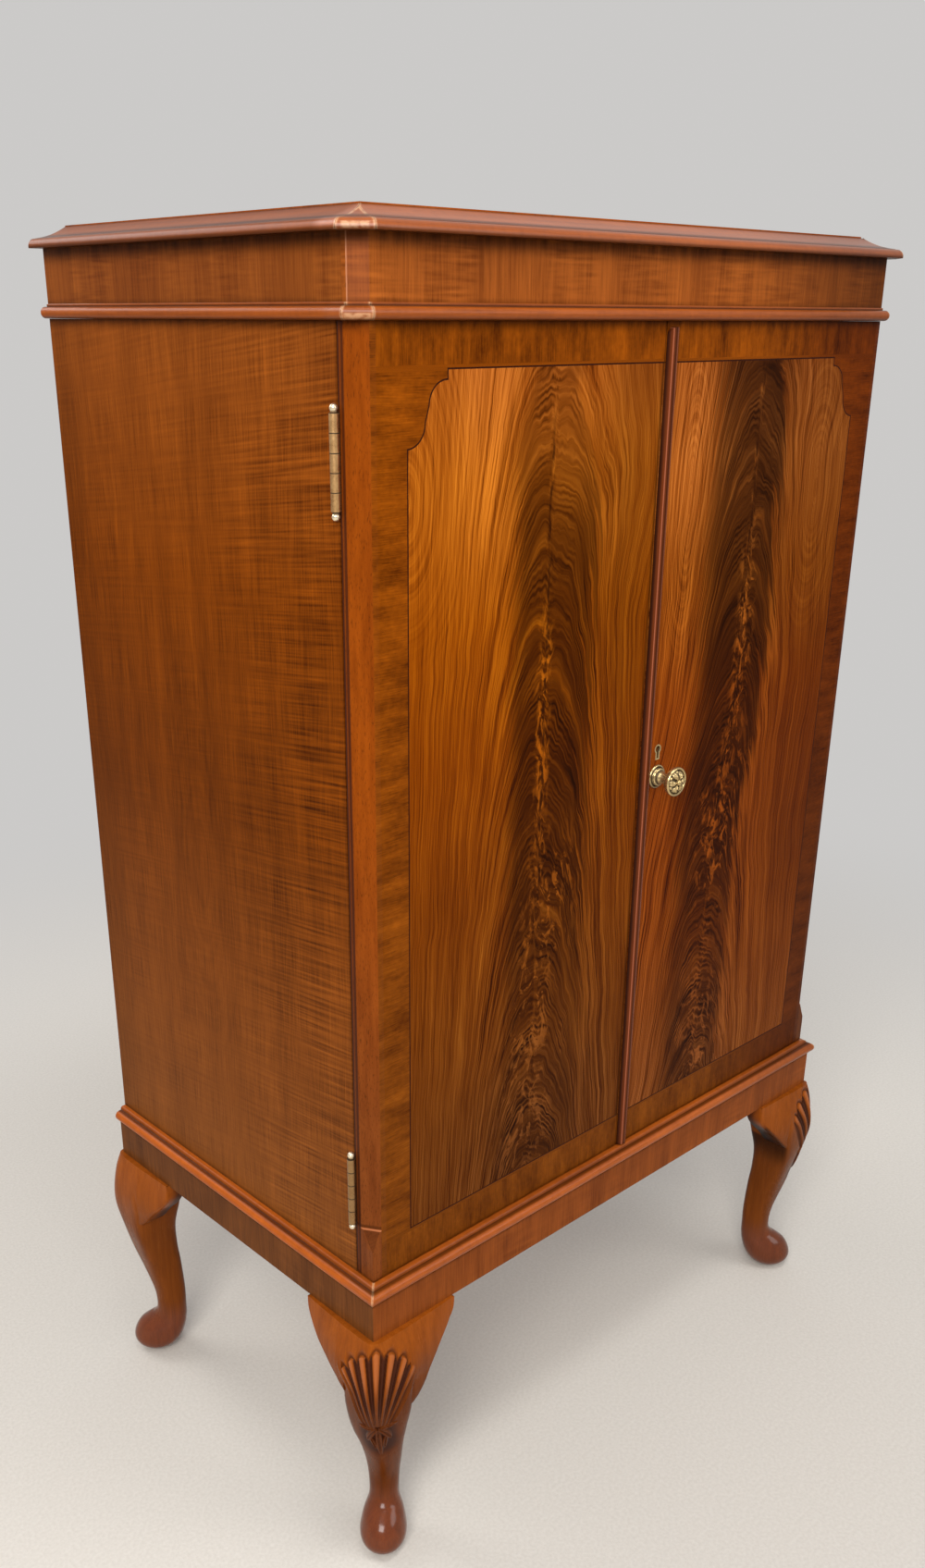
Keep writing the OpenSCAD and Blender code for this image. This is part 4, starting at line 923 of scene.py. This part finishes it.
def along_rows(rows, steps):
    """Points on a Catmull-Rom curve through rows of numbers, steps to a span."""
    rows = np.array(rows, float)
    t = np.linspace(0, len(rows) - 1, (len(rows) - 1) * steps + 1)
    i = np.minimum(t.astype(int), len(rows) - 2)
    t = (t - i)[:, None]
    a, b = rows[np.maximum(i - 1, 0)], rows[i]
    c, d = rows[i + 1], rows[np.minimum(i + 2, len(rows) - 1)]
    return 0.5 * (2 * b + (c - a) * t + (2 * a - 5 * b + 4 * c - d) * t ** 2
                  + (3 * b - a - 3 * c + d) * t ** 3)


def leg_rows(steps):
    """Sections of a leg from the frame down, on a Catmull-Rom curve through the rows."""
    upper = LEG_DROP - FOOT_HEIGHT
    return along_rows([(-upper * s, *rest) for s, *rest in LEG_UPPER]
                      + [(-upper - FOOT_HEIGHT * s, *rest) for s, *rest in LEG_FOOT], steps)


def leg_rings(rows, columns):
    """Points round each section: a superellipse whose corner looks outwards, spaced evenly."""
    a = np.linspace(0, 2 * np.pi, 1441)
    power = 2 / rows[:, 4:5]
    e = np.sign(np.cos(a)) * np.abs(np.cos(a)) ** power
    f = np.sign(np.sin(a)) * np.abs(np.sin(a)) ** power
    reach = math.sqrt(2) / 2 ** (1 / rows[:, 4:5])
    d = (rows[:, 1:2] + rows[:, 2:3]) / 2 + (e + f) / math.sqrt(2) * (
        rows[:, 1:2] - rows[:, 2:3]) / 2 / reach
    c = (e - f) / math.sqrt(2) * rows[:, 3:4] / reach
    step = np.hypot(np.diff(d, axis=1), np.diff(c, axis=1))
    run = np.concatenate([np.zeros((len(rows), 1)), np.cumsum(step, 1)], 1)
    even = np.linspace(0, 1, columns, endpoint=False)
    d = np.array([np.interp(even * r[-1], r, v) for r, v in zip(run, d)])
    c = np.array([np.interp(even * r[-1], r, v) for r, v in zip(run, c)])
    return d, c


def smooth(value, low, high):
    """0 below low, 1 above high, a smooth step between."""
    t = np.clip((value - low) / (high - low), 0, 1)
    return t * t * (3 - 2 * t)


def leaf(c, z, root, tip, half, bend=0):
    """Height of a small carved leaf from root to tip: widest before its middle, grooved along."""
    root, tip = np.array(root, float), np.array(tip, float)
    whole = np.hypot(*(tip - root))
    d = (tip - root) / whole
    u = ((c - root[0]) * d[0] + (z - root[1]) * d[1]) / whole
    v = -(c - root[0]) * d[1] + (z - root[1]) * d[0] - bend * u * u
    wide = half * np.clip(u, 0, 1) ** 0.45 * np.clip(1 - u, 0, 1) ** 0.6 * 1.9
    inside = np.clip(1 - np.abs(v) / np.maximum(wide, 0.01), 0, 1)
    return np.where((u > 0) & (u < 1), np.minimum(inside * 2.2, 1) - 0.35 * (np.abs(v) < 0.7), 0)


def shell_carving(c, z, place):
    """Depth and dark mark of the knee's carving: seven rods fan out over a husk of small leaves.

    In polar form about the point below, the shell is the fan within 26.5 degrees and inside an edge
    that bulges at each rod. A rod is half round, with a low fillet in each hollow between two; the
    ground round the shell is cut back and blends out into the knee.
    """
    middle, low = place[0], place[1] - 132
    angle = np.degrees(np.arctan2(c - middle, z - low))
    radius = np.hypot(c - middle, z - low)
    rib = angle / 8
    off = np.abs(rib - np.clip(np.round(rib), -3, 3))
    edge = 124 - 0.9 * np.abs(angle) - 0.013 * angle ** 2 - 34 * off ** 2
    fan = smooth(26.5 - np.abs(angle), 0, 0.9) * smooth(edge - radius, 0, 1.4)
    fan = fan * smooth(radius, 22, 27)
    rod = np.sqrt(np.clip(1 - (off / 0.29) ** 2, 0, 1))
    fillet = 0.42 * np.sqrt(np.clip(1 - ((off - 0.5) / 0.13) ** 2, 0, 1))
    depth = 0.8 + 2.9 * smooth(radius, 24, 90)
    ribs = (np.maximum(rod, fillet) - 1) * depth + 0.6 * smooth(radius, 60, 118)
    beyond = np.maximum(np.maximum(radius - edge, 0), np.maximum(np.abs(angle) - 26.5, 0)
                        * radius / 57.3)
    ground = -2.9 * np.exp(-(beyond / 4.5) ** 2) * smooth(radius, 12, 26)
    z = (z - place[1] + 112) / 1.15 - 100
    c = (c - middle) / 1.2
    husk = np.zeros_like(c)
    for root, tip, half, bend in HUSK:
        husk = np.maximum(husk, leaf(c, z, root, tip, half, bend))
    husk_ground = -2.6 * np.exp(-(((c - 1) / 17) ** 4 + ((z + 116) / 24) ** 4))
    outside = np.minimum(ground, husk_ground)
    carved = np.where(fan > 0, ribs * fan + outside * (1 - fan), outside)
    # Patina in the grooves, painted shade round them; below 0, a painted highlight on the crowns
    patina_shade_highlight = np.clip(-ribs * 0.6, 0, 1) * fan + np.clip(-outside * 0.2, 0, 1) * (1 - fan)
    patina_shade_highlight = np.maximum(patina_shade_highlight, np.clip(-husk_ground * 0.4, 0, 1) * (1 - fan)) * (1 - husk * 0.8)
    patina_shade_highlight = patina_shade_highlight - fan * np.clip(rod * 1.6 - 0.7, 0, 1) * smooth(radius, 50, 100)
    return carved * (1 - husk) + 0.3 * husk, patina_shade_highlight


HUSK = (((-1, -98), (-15, -116), 4.6, 6), ((1, -98), (16, -117), 4.6, -6),
        ((0, -100), (1, -141), 4.4, 0), ((-2, -97), (-16, -103), 3.4, -3),
        ((2, -97), (17, -104), 3.4, 3), ((-7, -111), (-1, -130), 3.2, -2),
        ((8, -112), (2, -131), 3.2, 2))
# Each carved leg's shell: its middle across the knee, and how far it sits above the drawn place
SHELL_PLACE = {"front_left_leg": (-3, 0), "front_right_leg": (4, 8)}
# The near leg leans to one side in its lower part, and its knee is pinched on the other
LEAN, PINCH = {"front_left_leg": -5.5}, 4.5
# The post's near and far side from the corner of the frame, and the legs' greatest reach outwards
POST_IN, POST_OUT, LEG_OUT = 20, 54, 15.7


def place_corner(x, y, side, back):
    """A leg's own outward axes to the model's, at one corner of the stand."""
    return side * (FRAME_X + x), (BACK + y) if back else (FRAME_FRONT - y)


def cabriole_leg(name, side, back, carved):
    """A leg: smooth superellipse sections; a carved one is cut back by the shell's depth."""
    columns, steps = (300, 18) if carved else (96, 7)
    rows = leg_rows(steps)
    if carved:
        even = np.concatenate([np.linspace(0, -150, 190), np.linspace(-151, -LEG_DROP, 90)])
        rows = np.array([even] + [np.interp(-even, -rows[:, 0], row) for row in rows.T[1:]]).T
    d, c = leg_rings(rows, columns)
    z = np.broadcast_to(rows[:, :1], d.shape)
    hollow = np.zeros_like(d)
    if carved:
        centre_d = (rows[:, 1:2] + rows[:, 2:3]) / 2
        facing = smooth(d - centre_d, 2, 12)
        depth, hollow = shell_carving(c, z, SHELL_PLACE[name])
        depth, hollow = depth * facing, hollow * facing
        pull_d, pull_c = d - (centre_d - 12), c
        size = np.hypot(pull_d, pull_c * 0.8)
        d = d + depth * pull_d / size
        c = c + depth * pull_c * 0.8 / size
    if name in LEAN:
        c = c + LEAN[name] * smooth(-z, 98, 196)
        c = c - PINCH * smooth(c, 10, 38) * smooth(-z, 40, 80) * smooth(z, -150, -100)
    x, y = [np.minimum(reach / math.sqrt(2), LEG_OUT) for reach in (d + c, d - c)]
    x, y = place_corner(x, y, side, back)
    inside_out = (side > 0) == back
    leg = (np.stack([x, y, z + FRAME_LOW], -1), *tube(len(rows), columns, inside_out), hollow)
    square = np.array([(-POST_IN, -POST_IN), (-POST_OUT, -POST_IN), (-POST_OUT, -POST_OUT),
                       (-POST_IN, -POST_OUT)], float)
    x, y = place_corner(*square.T, side, back)
    ends = [np.stack([x, y, np.full(4, level)], -1) for level in (FRAME_TOP, FRAME_LOW - 1)]
    post = (np.concatenate(ends), *tube(2, 4, inside_out), np.zeros(8))
    piece = ("carved_" if carved else "plain_") + name
    add_piece(piece, [leg, post], "leg", "carcase", name, 50)


# A knee block's lower edge: distance from the corner of the frame, height below it
EAR_EDGE = [(36, -92), (46, -83), (56, -73), (65, -62), (74, -52.5), (83.5, -43.5), (93, -33),
            (100, -22), (102, -11), (101, 0)]
# How far its head reaches along the rail, and where its face begins to leave the leg
EAR_REACH, EAR_ROOT = 102, 46
# The near front leg's blocks: how much longer they are, and how much fuller where they meet it
EAR_LONGER = {(-1, False, False): 9, (-1, False, True): 2}
EAR_FULLER = {(-1, False, False): 12, (-1, False, True): -9}


def knee_ear(side, back, turned):
    """A knee block: its face leaves the knee's side, sinks to the rail's face and rolls under.

    Its lower edge is a waved line from the leg to the tip; each column of the face falls from
    the rail to that edge, and the last part of it turns in round the edge.
    """
    longer = EAR_LONGER.get((side, back, turned), 0)
    curve = along_rows(EAR_EDGE, 7)
    curve[:, 1] -= EAR_FULLER.get((side, back, turned), 0) * smooth(-curve[:, 0], -84, -50)
    curve[:, 0] += longer * smooth(curve[:, 0], 30, EAR_ROOT)
    s = np.concatenate([np.linspace(0, 1, 26), np.full(7, 1), [0]])[None, :]
    turn_in = np.concatenate([np.zeros(26), np.linspace(0.15, 1, 7), [1]])[None, :]
    foot_x, foot_z = curve[:, :1], curve[:, 1:]
    head_x = np.minimum(foot_x, EAR_REACH + longer)
    x = head_x + (foot_x - head_x) * np.sin(s * np.pi / 2)
    z = foot_z * s
    away = np.clip((x - EAR_ROOT) / (EAR_REACH - EAR_ROOT), 0, 1.05)
    knee = 6 + 8.2 * np.sin(np.pi / 2 * np.clip(-z / 46, 0, 1.5))
    proud = 3.2 + (knee - 3.2) * (1 - away / 1.05) ** 0.8
    edge_gap = np.minimum(-foot_z * (1 - s), 8)
    outer = proud - 3.4 * (1 - edge_gap / 8) ** 3
    y = outer + (-19.5 - outer) * turn_in
    x, z = np.broadcast_to(-x, y.shape), np.broadcast_to(z - 0.05, y.shape)
    x, y = place_corner(*((y, x) if turned else (x, y)), side, back)
    # The part turned in under the edge is marked for painted shade
    dark = np.broadcast_to(turn_in, y.shape)
    faces = tube(*y.shape, ((side > 0) == back) == turned)
    return np.stack([x, y, z + FRAME_LOW], -1), *faces, dark


def knee_ears(name, back):
    """The four knee blocks of the front or back legs, each a closed form of its own."""
    ears = [knee_ear(side, back, turned) for side in (-1, 1) for turned in (False, True)]
    add_piece(name.replace("blocks", "ears"), ears, "leg", "carcase", name, 40)


for leg_name, leg_side, leg_back in (("front_left_leg", -1, False), ("front_right_leg", 1, False),
                                     ("back_left_leg", -1, True), ("back_right_leg", 1, True)):
    cabriole_leg(leg_name, leg_side, leg_back, not leg_back)
knee_ears("front_knee_blocks", False)
knee_ears("back_knee_blocks", True)


def door_stile(name, side, body):
    """A door's stile: its outline at each level, with softened corners, carried up the door.

    The chamfer is a slanted facet that grows from a point to just short of its full depth, then
    steps back at a ledge and runs at full depth to the top. Behind a hinge leaf the back is lower.
    """
    tiny = 0.04
    levels = [(DOOR_LOW, tiny), (CHAMFER_POINT, tiny)]
    levels += [(CHAMFER_POINT + (CHAMFER_LEDGE - CHAMFER_POINT) * k / 12, tiny + 0.8 * k / 12)
               for k in range(1, 13)]
    levels += [(CHAMFER_LEDGE + 0.5, 0.86), (CHAMFER_LEDGE + 0.9, 0.96), (CHAMFER_LEDGE + 1.6, 1)]
    seats = [(low + end, 1) for low in HINGE_LEVELS for end in (-0.05, 0, HINGE_LONG,
                                                                  HINGE_LONG + 0.05)]
    levels += seats + [(z, 1) for z in np.arange(520, 1100, 20)] + [(DOOR_TOP, 1)]
    levels = sorted(levels)
    rings = []
    for z, share in levels:
        seated = any(low - 0.01 < z < low + HINGE_LONG + 0.01 for low in HINGE_LEVELS)
        back = LEAF_SEAT if seated else DOOR_THICK
        p, q = CHAMFER_IN * share, CHAMFER_BACK * share
        tongue = 0.5 * (CHAMFER_POINT < z <= CHAMFER_LEDGE)
        face = [(p * (1 - k), q * k) for k in (0.06, 0.2, 0.4, 0.6, 0.8, 0.94)]
        # Third numbers: painted shade on the edge face and the back; half as dark on the tongue
        ring = [(STILE_WIDE, 0, 0), (p + 0.8, 0, 0), (p + 0.25, 0.08, 0)]
        ring += [(u, v, tongue) for u, v in face]
        ring += [(0.08, q + 0.25, 0.1), (0, CHAMFER_BACK + 0.9, 0.15 + 0.6 * (share == 1)),
                 (0, CHAMFER_BACK + 1.6, 0.9), (0, 21, 0.8), (0, 21.8, 0.35),
                 (0, 22.8, 0.4), (0, 23.6, 0.95),
                 (0.3, back, 1), (15, back, 0.6), (15.02, DOOR_THICK, 0),
                 (STILE_WIDE, DOOR_THICK, 0)]
        rings.append([(u, min(v, back) if k < len(ring) - 2 else v, z, dark)
                      for k, (u, v, dark) in enumerate(ring)])
    rings = np.array(rings)
    x = side * (HALF_WIDTH - rings[..., 0])
    points = np.stack([x, FRONT + rings[..., 1], rings[..., 2]], -1)
    stile = (points, *tube(*x.shape, side < 0), rings[..., 3])
    add_piece("chamfered_" + name, [stile], "stile", body, name, 25)


door_stile("left_door_stile", -1, "left_door")
door_stile("right_door_stile", 1, "right_door")


# Knob: radius, distance out from the door's face; the head's face is carved inside CARVED_R
CARVED_R = 13.2
KNOB_PROFILE = [(2.4, 3), (9, 3), (9.5, 3.6), (9.6, 4.6), (8.9, 5.4), (7.6, 5.8), (7.2, 6.6),
                (6.6, 8.2), (5.7, 10.5), (5.2, 13.5), (5.2, 16.5), (5.9, 18.6), (8.6, 19.7),
                (12.2, 20.9), (14.4, 22.4), (15.5, 24.2), (15.87, 26), (15.7, 27.5), (15, 28.5),
                (14.2, 28.8), (13.6, 28.3), (CARVED_R, 27.8)]


def rosette(radius, turn):
    """Height and hollowness of the knob's carved face: six petals round a button, leaves between.

    Across a petal the height is half an ellipse with a groove at its rib; a petal is widest
    just past its middle. Between the petals the ground drops and a short leaf rises.
    """
    u = (turn / 60 + 0.5) % 1 * 2 - 1
    along = np.clip((radius - 2.4) / 10.6, 0, 1)
    wide = 0.16 + 0.62 * np.sin(np.pi * along ** 1.2) ** 0.6
    across = np.clip(np.abs(u) / wide, 0, 1)
    petal = np.sqrt(1 - across ** 2) * np.sin(np.pi * np.clip(along, 0.06, 0.97)) ** 0.5
    petal = petal - 0.22 * (1 - smooth(np.abs(u), 0.05, 0.16)) * smooth(along, 0.15, 0.4)
    leaf_across = np.clip((1 - np.abs(u)) / 0.34, 0, 1)
    little = np.sqrt(1 - leaf_across ** 2) * smooth(along, 0.5, 0.8) * smooth(-along, -1, -0.86)
    ground = 27.8 + 3.3 * (1 - along ** 2)
    button = 2.6 * np.sqrt(np.clip(1 - (radius / 3.1) ** 2, 0, 1))
    height = ground - 2.2 + np.maximum(3.5 * petal, 1.9 * little)
    height = np.where(radius < 3.1, np.maximum(height, 30.9 + button), height)
    hollow = np.clip(1.35 - np.maximum(petal, little) * 1.5, 0, 1) * (radius > 3)
    hollow = np.maximum(hollow, smooth(radius, 11.9, 12.5))
    return np.minimum(height, 33.9), hollow


# The rose behind the knob, in the same way
ROSE_PROFILE = [(2.4, 0.05), (12.4, 0.05), (12.75, 0.5), (12.7, 1.4), (12.2, 2.1), (11.5, 2.3),
                (10.9, 2), (10.6, 1.2), (10.2, 0.9), (9.8, 1.2), (9.6, 2.4), (9.3, 2.9),
                (8.8, 2.98), (2.4, 2.98)]


def about_knob(radius, out, angle):
    """Points at radii and reaches out of the door, turned about the knob's axis."""
    x = KNOB_X + radius * np.cos(angle)
    z = KNOB_Z + radius * np.sin(angle)
    return np.stack([x, np.broadcast_to(FRONT - out, x.shape), z], -1)


def knob_rose():
    """The rose behind the knob: a raised rim, a dark groove and a raised middle, turned."""
    columns = 96
    radius, out = np.array(ROSE_PROFILE).T[:, :, None]
    angle = np.radians(np.arange(columns) * 360 / columns)[None, :]
    groove = np.exp(-((radius - 10.3) / 1.2) ** 4)
    # Dark in the groove, and painted shade on the lower half
    dark = np.maximum(groove, 0.6 * smooth(-np.sin(angle), 0, 0.9))
    rose = (about_knob(radius, out, angle), lattice(len(radius), columns, True), [], dark)
    add_piece("turned_rose", [rose], "knob_brass", "right_door", "knob_rose", 40)


knob_rose()


def turned_knob():
    """The knob: a profile turned about its own axis, ending in the rosette's carved face."""
    columns = 168
    profile = along_rows(KNOB_PROFILE, 4)
    turn = np.arange(columns) * 360 / columns
    face_r = np.linspace(CARVED_R, 0.05, 56)
    radius = np.concatenate([profile[:, 0], face_r])[:, None]
    height, hollow = rosette(face_r[:, None], turn[None, :])
    ease = smooth(CARVED_R - face_r, 0, 0.8)[:, None]
    height = KNOB_PROFILE[-1][1] * (1 - ease) + height * ease
    side = np.broadcast_to(profile[:, 1:], (len(profile), columns))
    out = np.concatenate([side, height])
    groove = np.exp(-((profile[:, :1] - 7.4) / 0.9) ** 2) * (profile[:, 1:] < 7.5)
    # Painted shade on the lower half of the sides
    painted_shade_beneath = 0.5 * smooth(-np.sin(np.radians(turn)), -0.1, 0.9)[None, :] * (profile[:, :1] < 14.6)
    dark = np.concatenate([np.maximum(groove, painted_shade_beneath), hollow])
    points = about_knob(radius, out, np.radians(turn)[None, :])
    knob = (points, *tube(len(out), columns), dark)
    add_piece("carved_rosette_knob", [knob], "knob_brass", "right_door", "knob", 60)


turned_knob()


# Stage, light and camera, in metres
floor_mesh = bpy.data.meshes.new("floor")
floor_mesh.from_pydata([(-30, -30, 0), (30, -30, 0), (30, 30, 0), (-30, 30, 0)], [], [(0, 1, 2, 3)])
floor_mesh.materials.append(pale_floor())
floor = bpy.data.objects.new("floor", floor_mesh)
bpy.context.scene.collection.objects.link(floor)


def area_light(name, place, target, size, power, colour=(1, 1, 1)):
    """A soft rectangular lamp at a place, aimed at a target."""
    light = bpy.data.lights.new(name, "AREA")
    light.shape = "RECTANGLE"
    light.size, light.size_y = size
    light.energy = power
    light.color = colour
    lamp = bpy.data.objects.new(name, light)
    bpy.context.scene.collection.objects.link(lamp)
    aim = np.array(target) - np.array(place)
    aim = aim / np.linalg.norm(aim)
    side = np.cross(aim, (0, 0, 1))
    side /= np.linalg.norm(side)
    up = np.cross(side, aim)
    lamp.matrix_world = Matrix([[side[i], up[i], -aim[i], place[i]] for i in range(3)]
                               + [[0, 0, 0, 1]])


world = bpy.data.worlds.new("studio")
bpy.context.scene.world = world
world.use_nodes = True
sky = Tree(world.node_tree)
to_camera, through_glass, mirrored = [
    sky.node("ShaderNodeLightPath", {}, out=ray)
    for ray in ("Is Camera Ray", "Is Transmission Ray", "Is Glossy Ray")]
lit = sky.node("ShaderNodeBackground", {}, (0.9, 0.93, 1, 1), 0.5)
plain = sky.node("ShaderNodeBackground", {}, BACKDROP, 1)
shown = sky.node("ShaderNodeMixShader", {}, to_camera.at_least(through_glass).at_least(mirrored),
                 lit, plain)
sky.node("ShaderNodeOutputWorld", {}, shown, out=None)

area_light("key", (-2.9, -2.2, 3), (0, 0, 0.7), (2, 2), 150, (1, 0.98, 0.95))
area_light("front_fill", (1.6, -3.2, 2.4), (0, 0, 0.7), (2, 1.6), 30)
area_light("overhead", (-0.2, -0.9, 3.3), (0, 0, 0.6), (1.6, 0.5), 24)
area_light("back_rim", (-1.2, 2.6, 2.9), (0, 0, 0.9), (2, 1.6), 40)

# The photograph's camera, from the fit to its edges; the photograph is measured in pixels
CAMERA_PLACE = (-1.1190, -1.1053, 1.2614)
TURN, TILT, ROLL = math.radians(-43.03), math.radians(67.02), math.radians(0.20)
FOCAL_PIXELS, WIDE_PIXELS, TALL_PIXELS = 1505.4, 1000, 1695
AXIS_X, AXIS_Y = 468.8, 980.9
camera_data = bpy.data.cameras.new("photo_camera")
camera_data.sensor_width = 36
camera_data.lens = 36 * FOCAL_PIXELS / TALL_PIXELS
camera_data.shift_x = (WIDE_PIXELS / 2 - AXIS_X) / TALL_PIXELS
camera_data.shift_y = (AXIS_Y - TALL_PIXELS / 2) / TALL_PIXELS
camera_data.clip_start = 0.05
camera = bpy.data.objects.new("photo_camera", camera_data)
bpy.context.scene.collection.objects.link(camera)
camera.matrix_world = (Matrix.Translation(CAMERA_PLACE) @ Matrix.Rotation(TURN, 4, "Z")
                       @ Matrix.Rotation(TILT, 4, "X") @ Matrix.Rotation(ROLL, 4, "Z"))
bpy.context.scene.camera = camera
bpy.context.scene.view_settings.view_transform = "Standard"
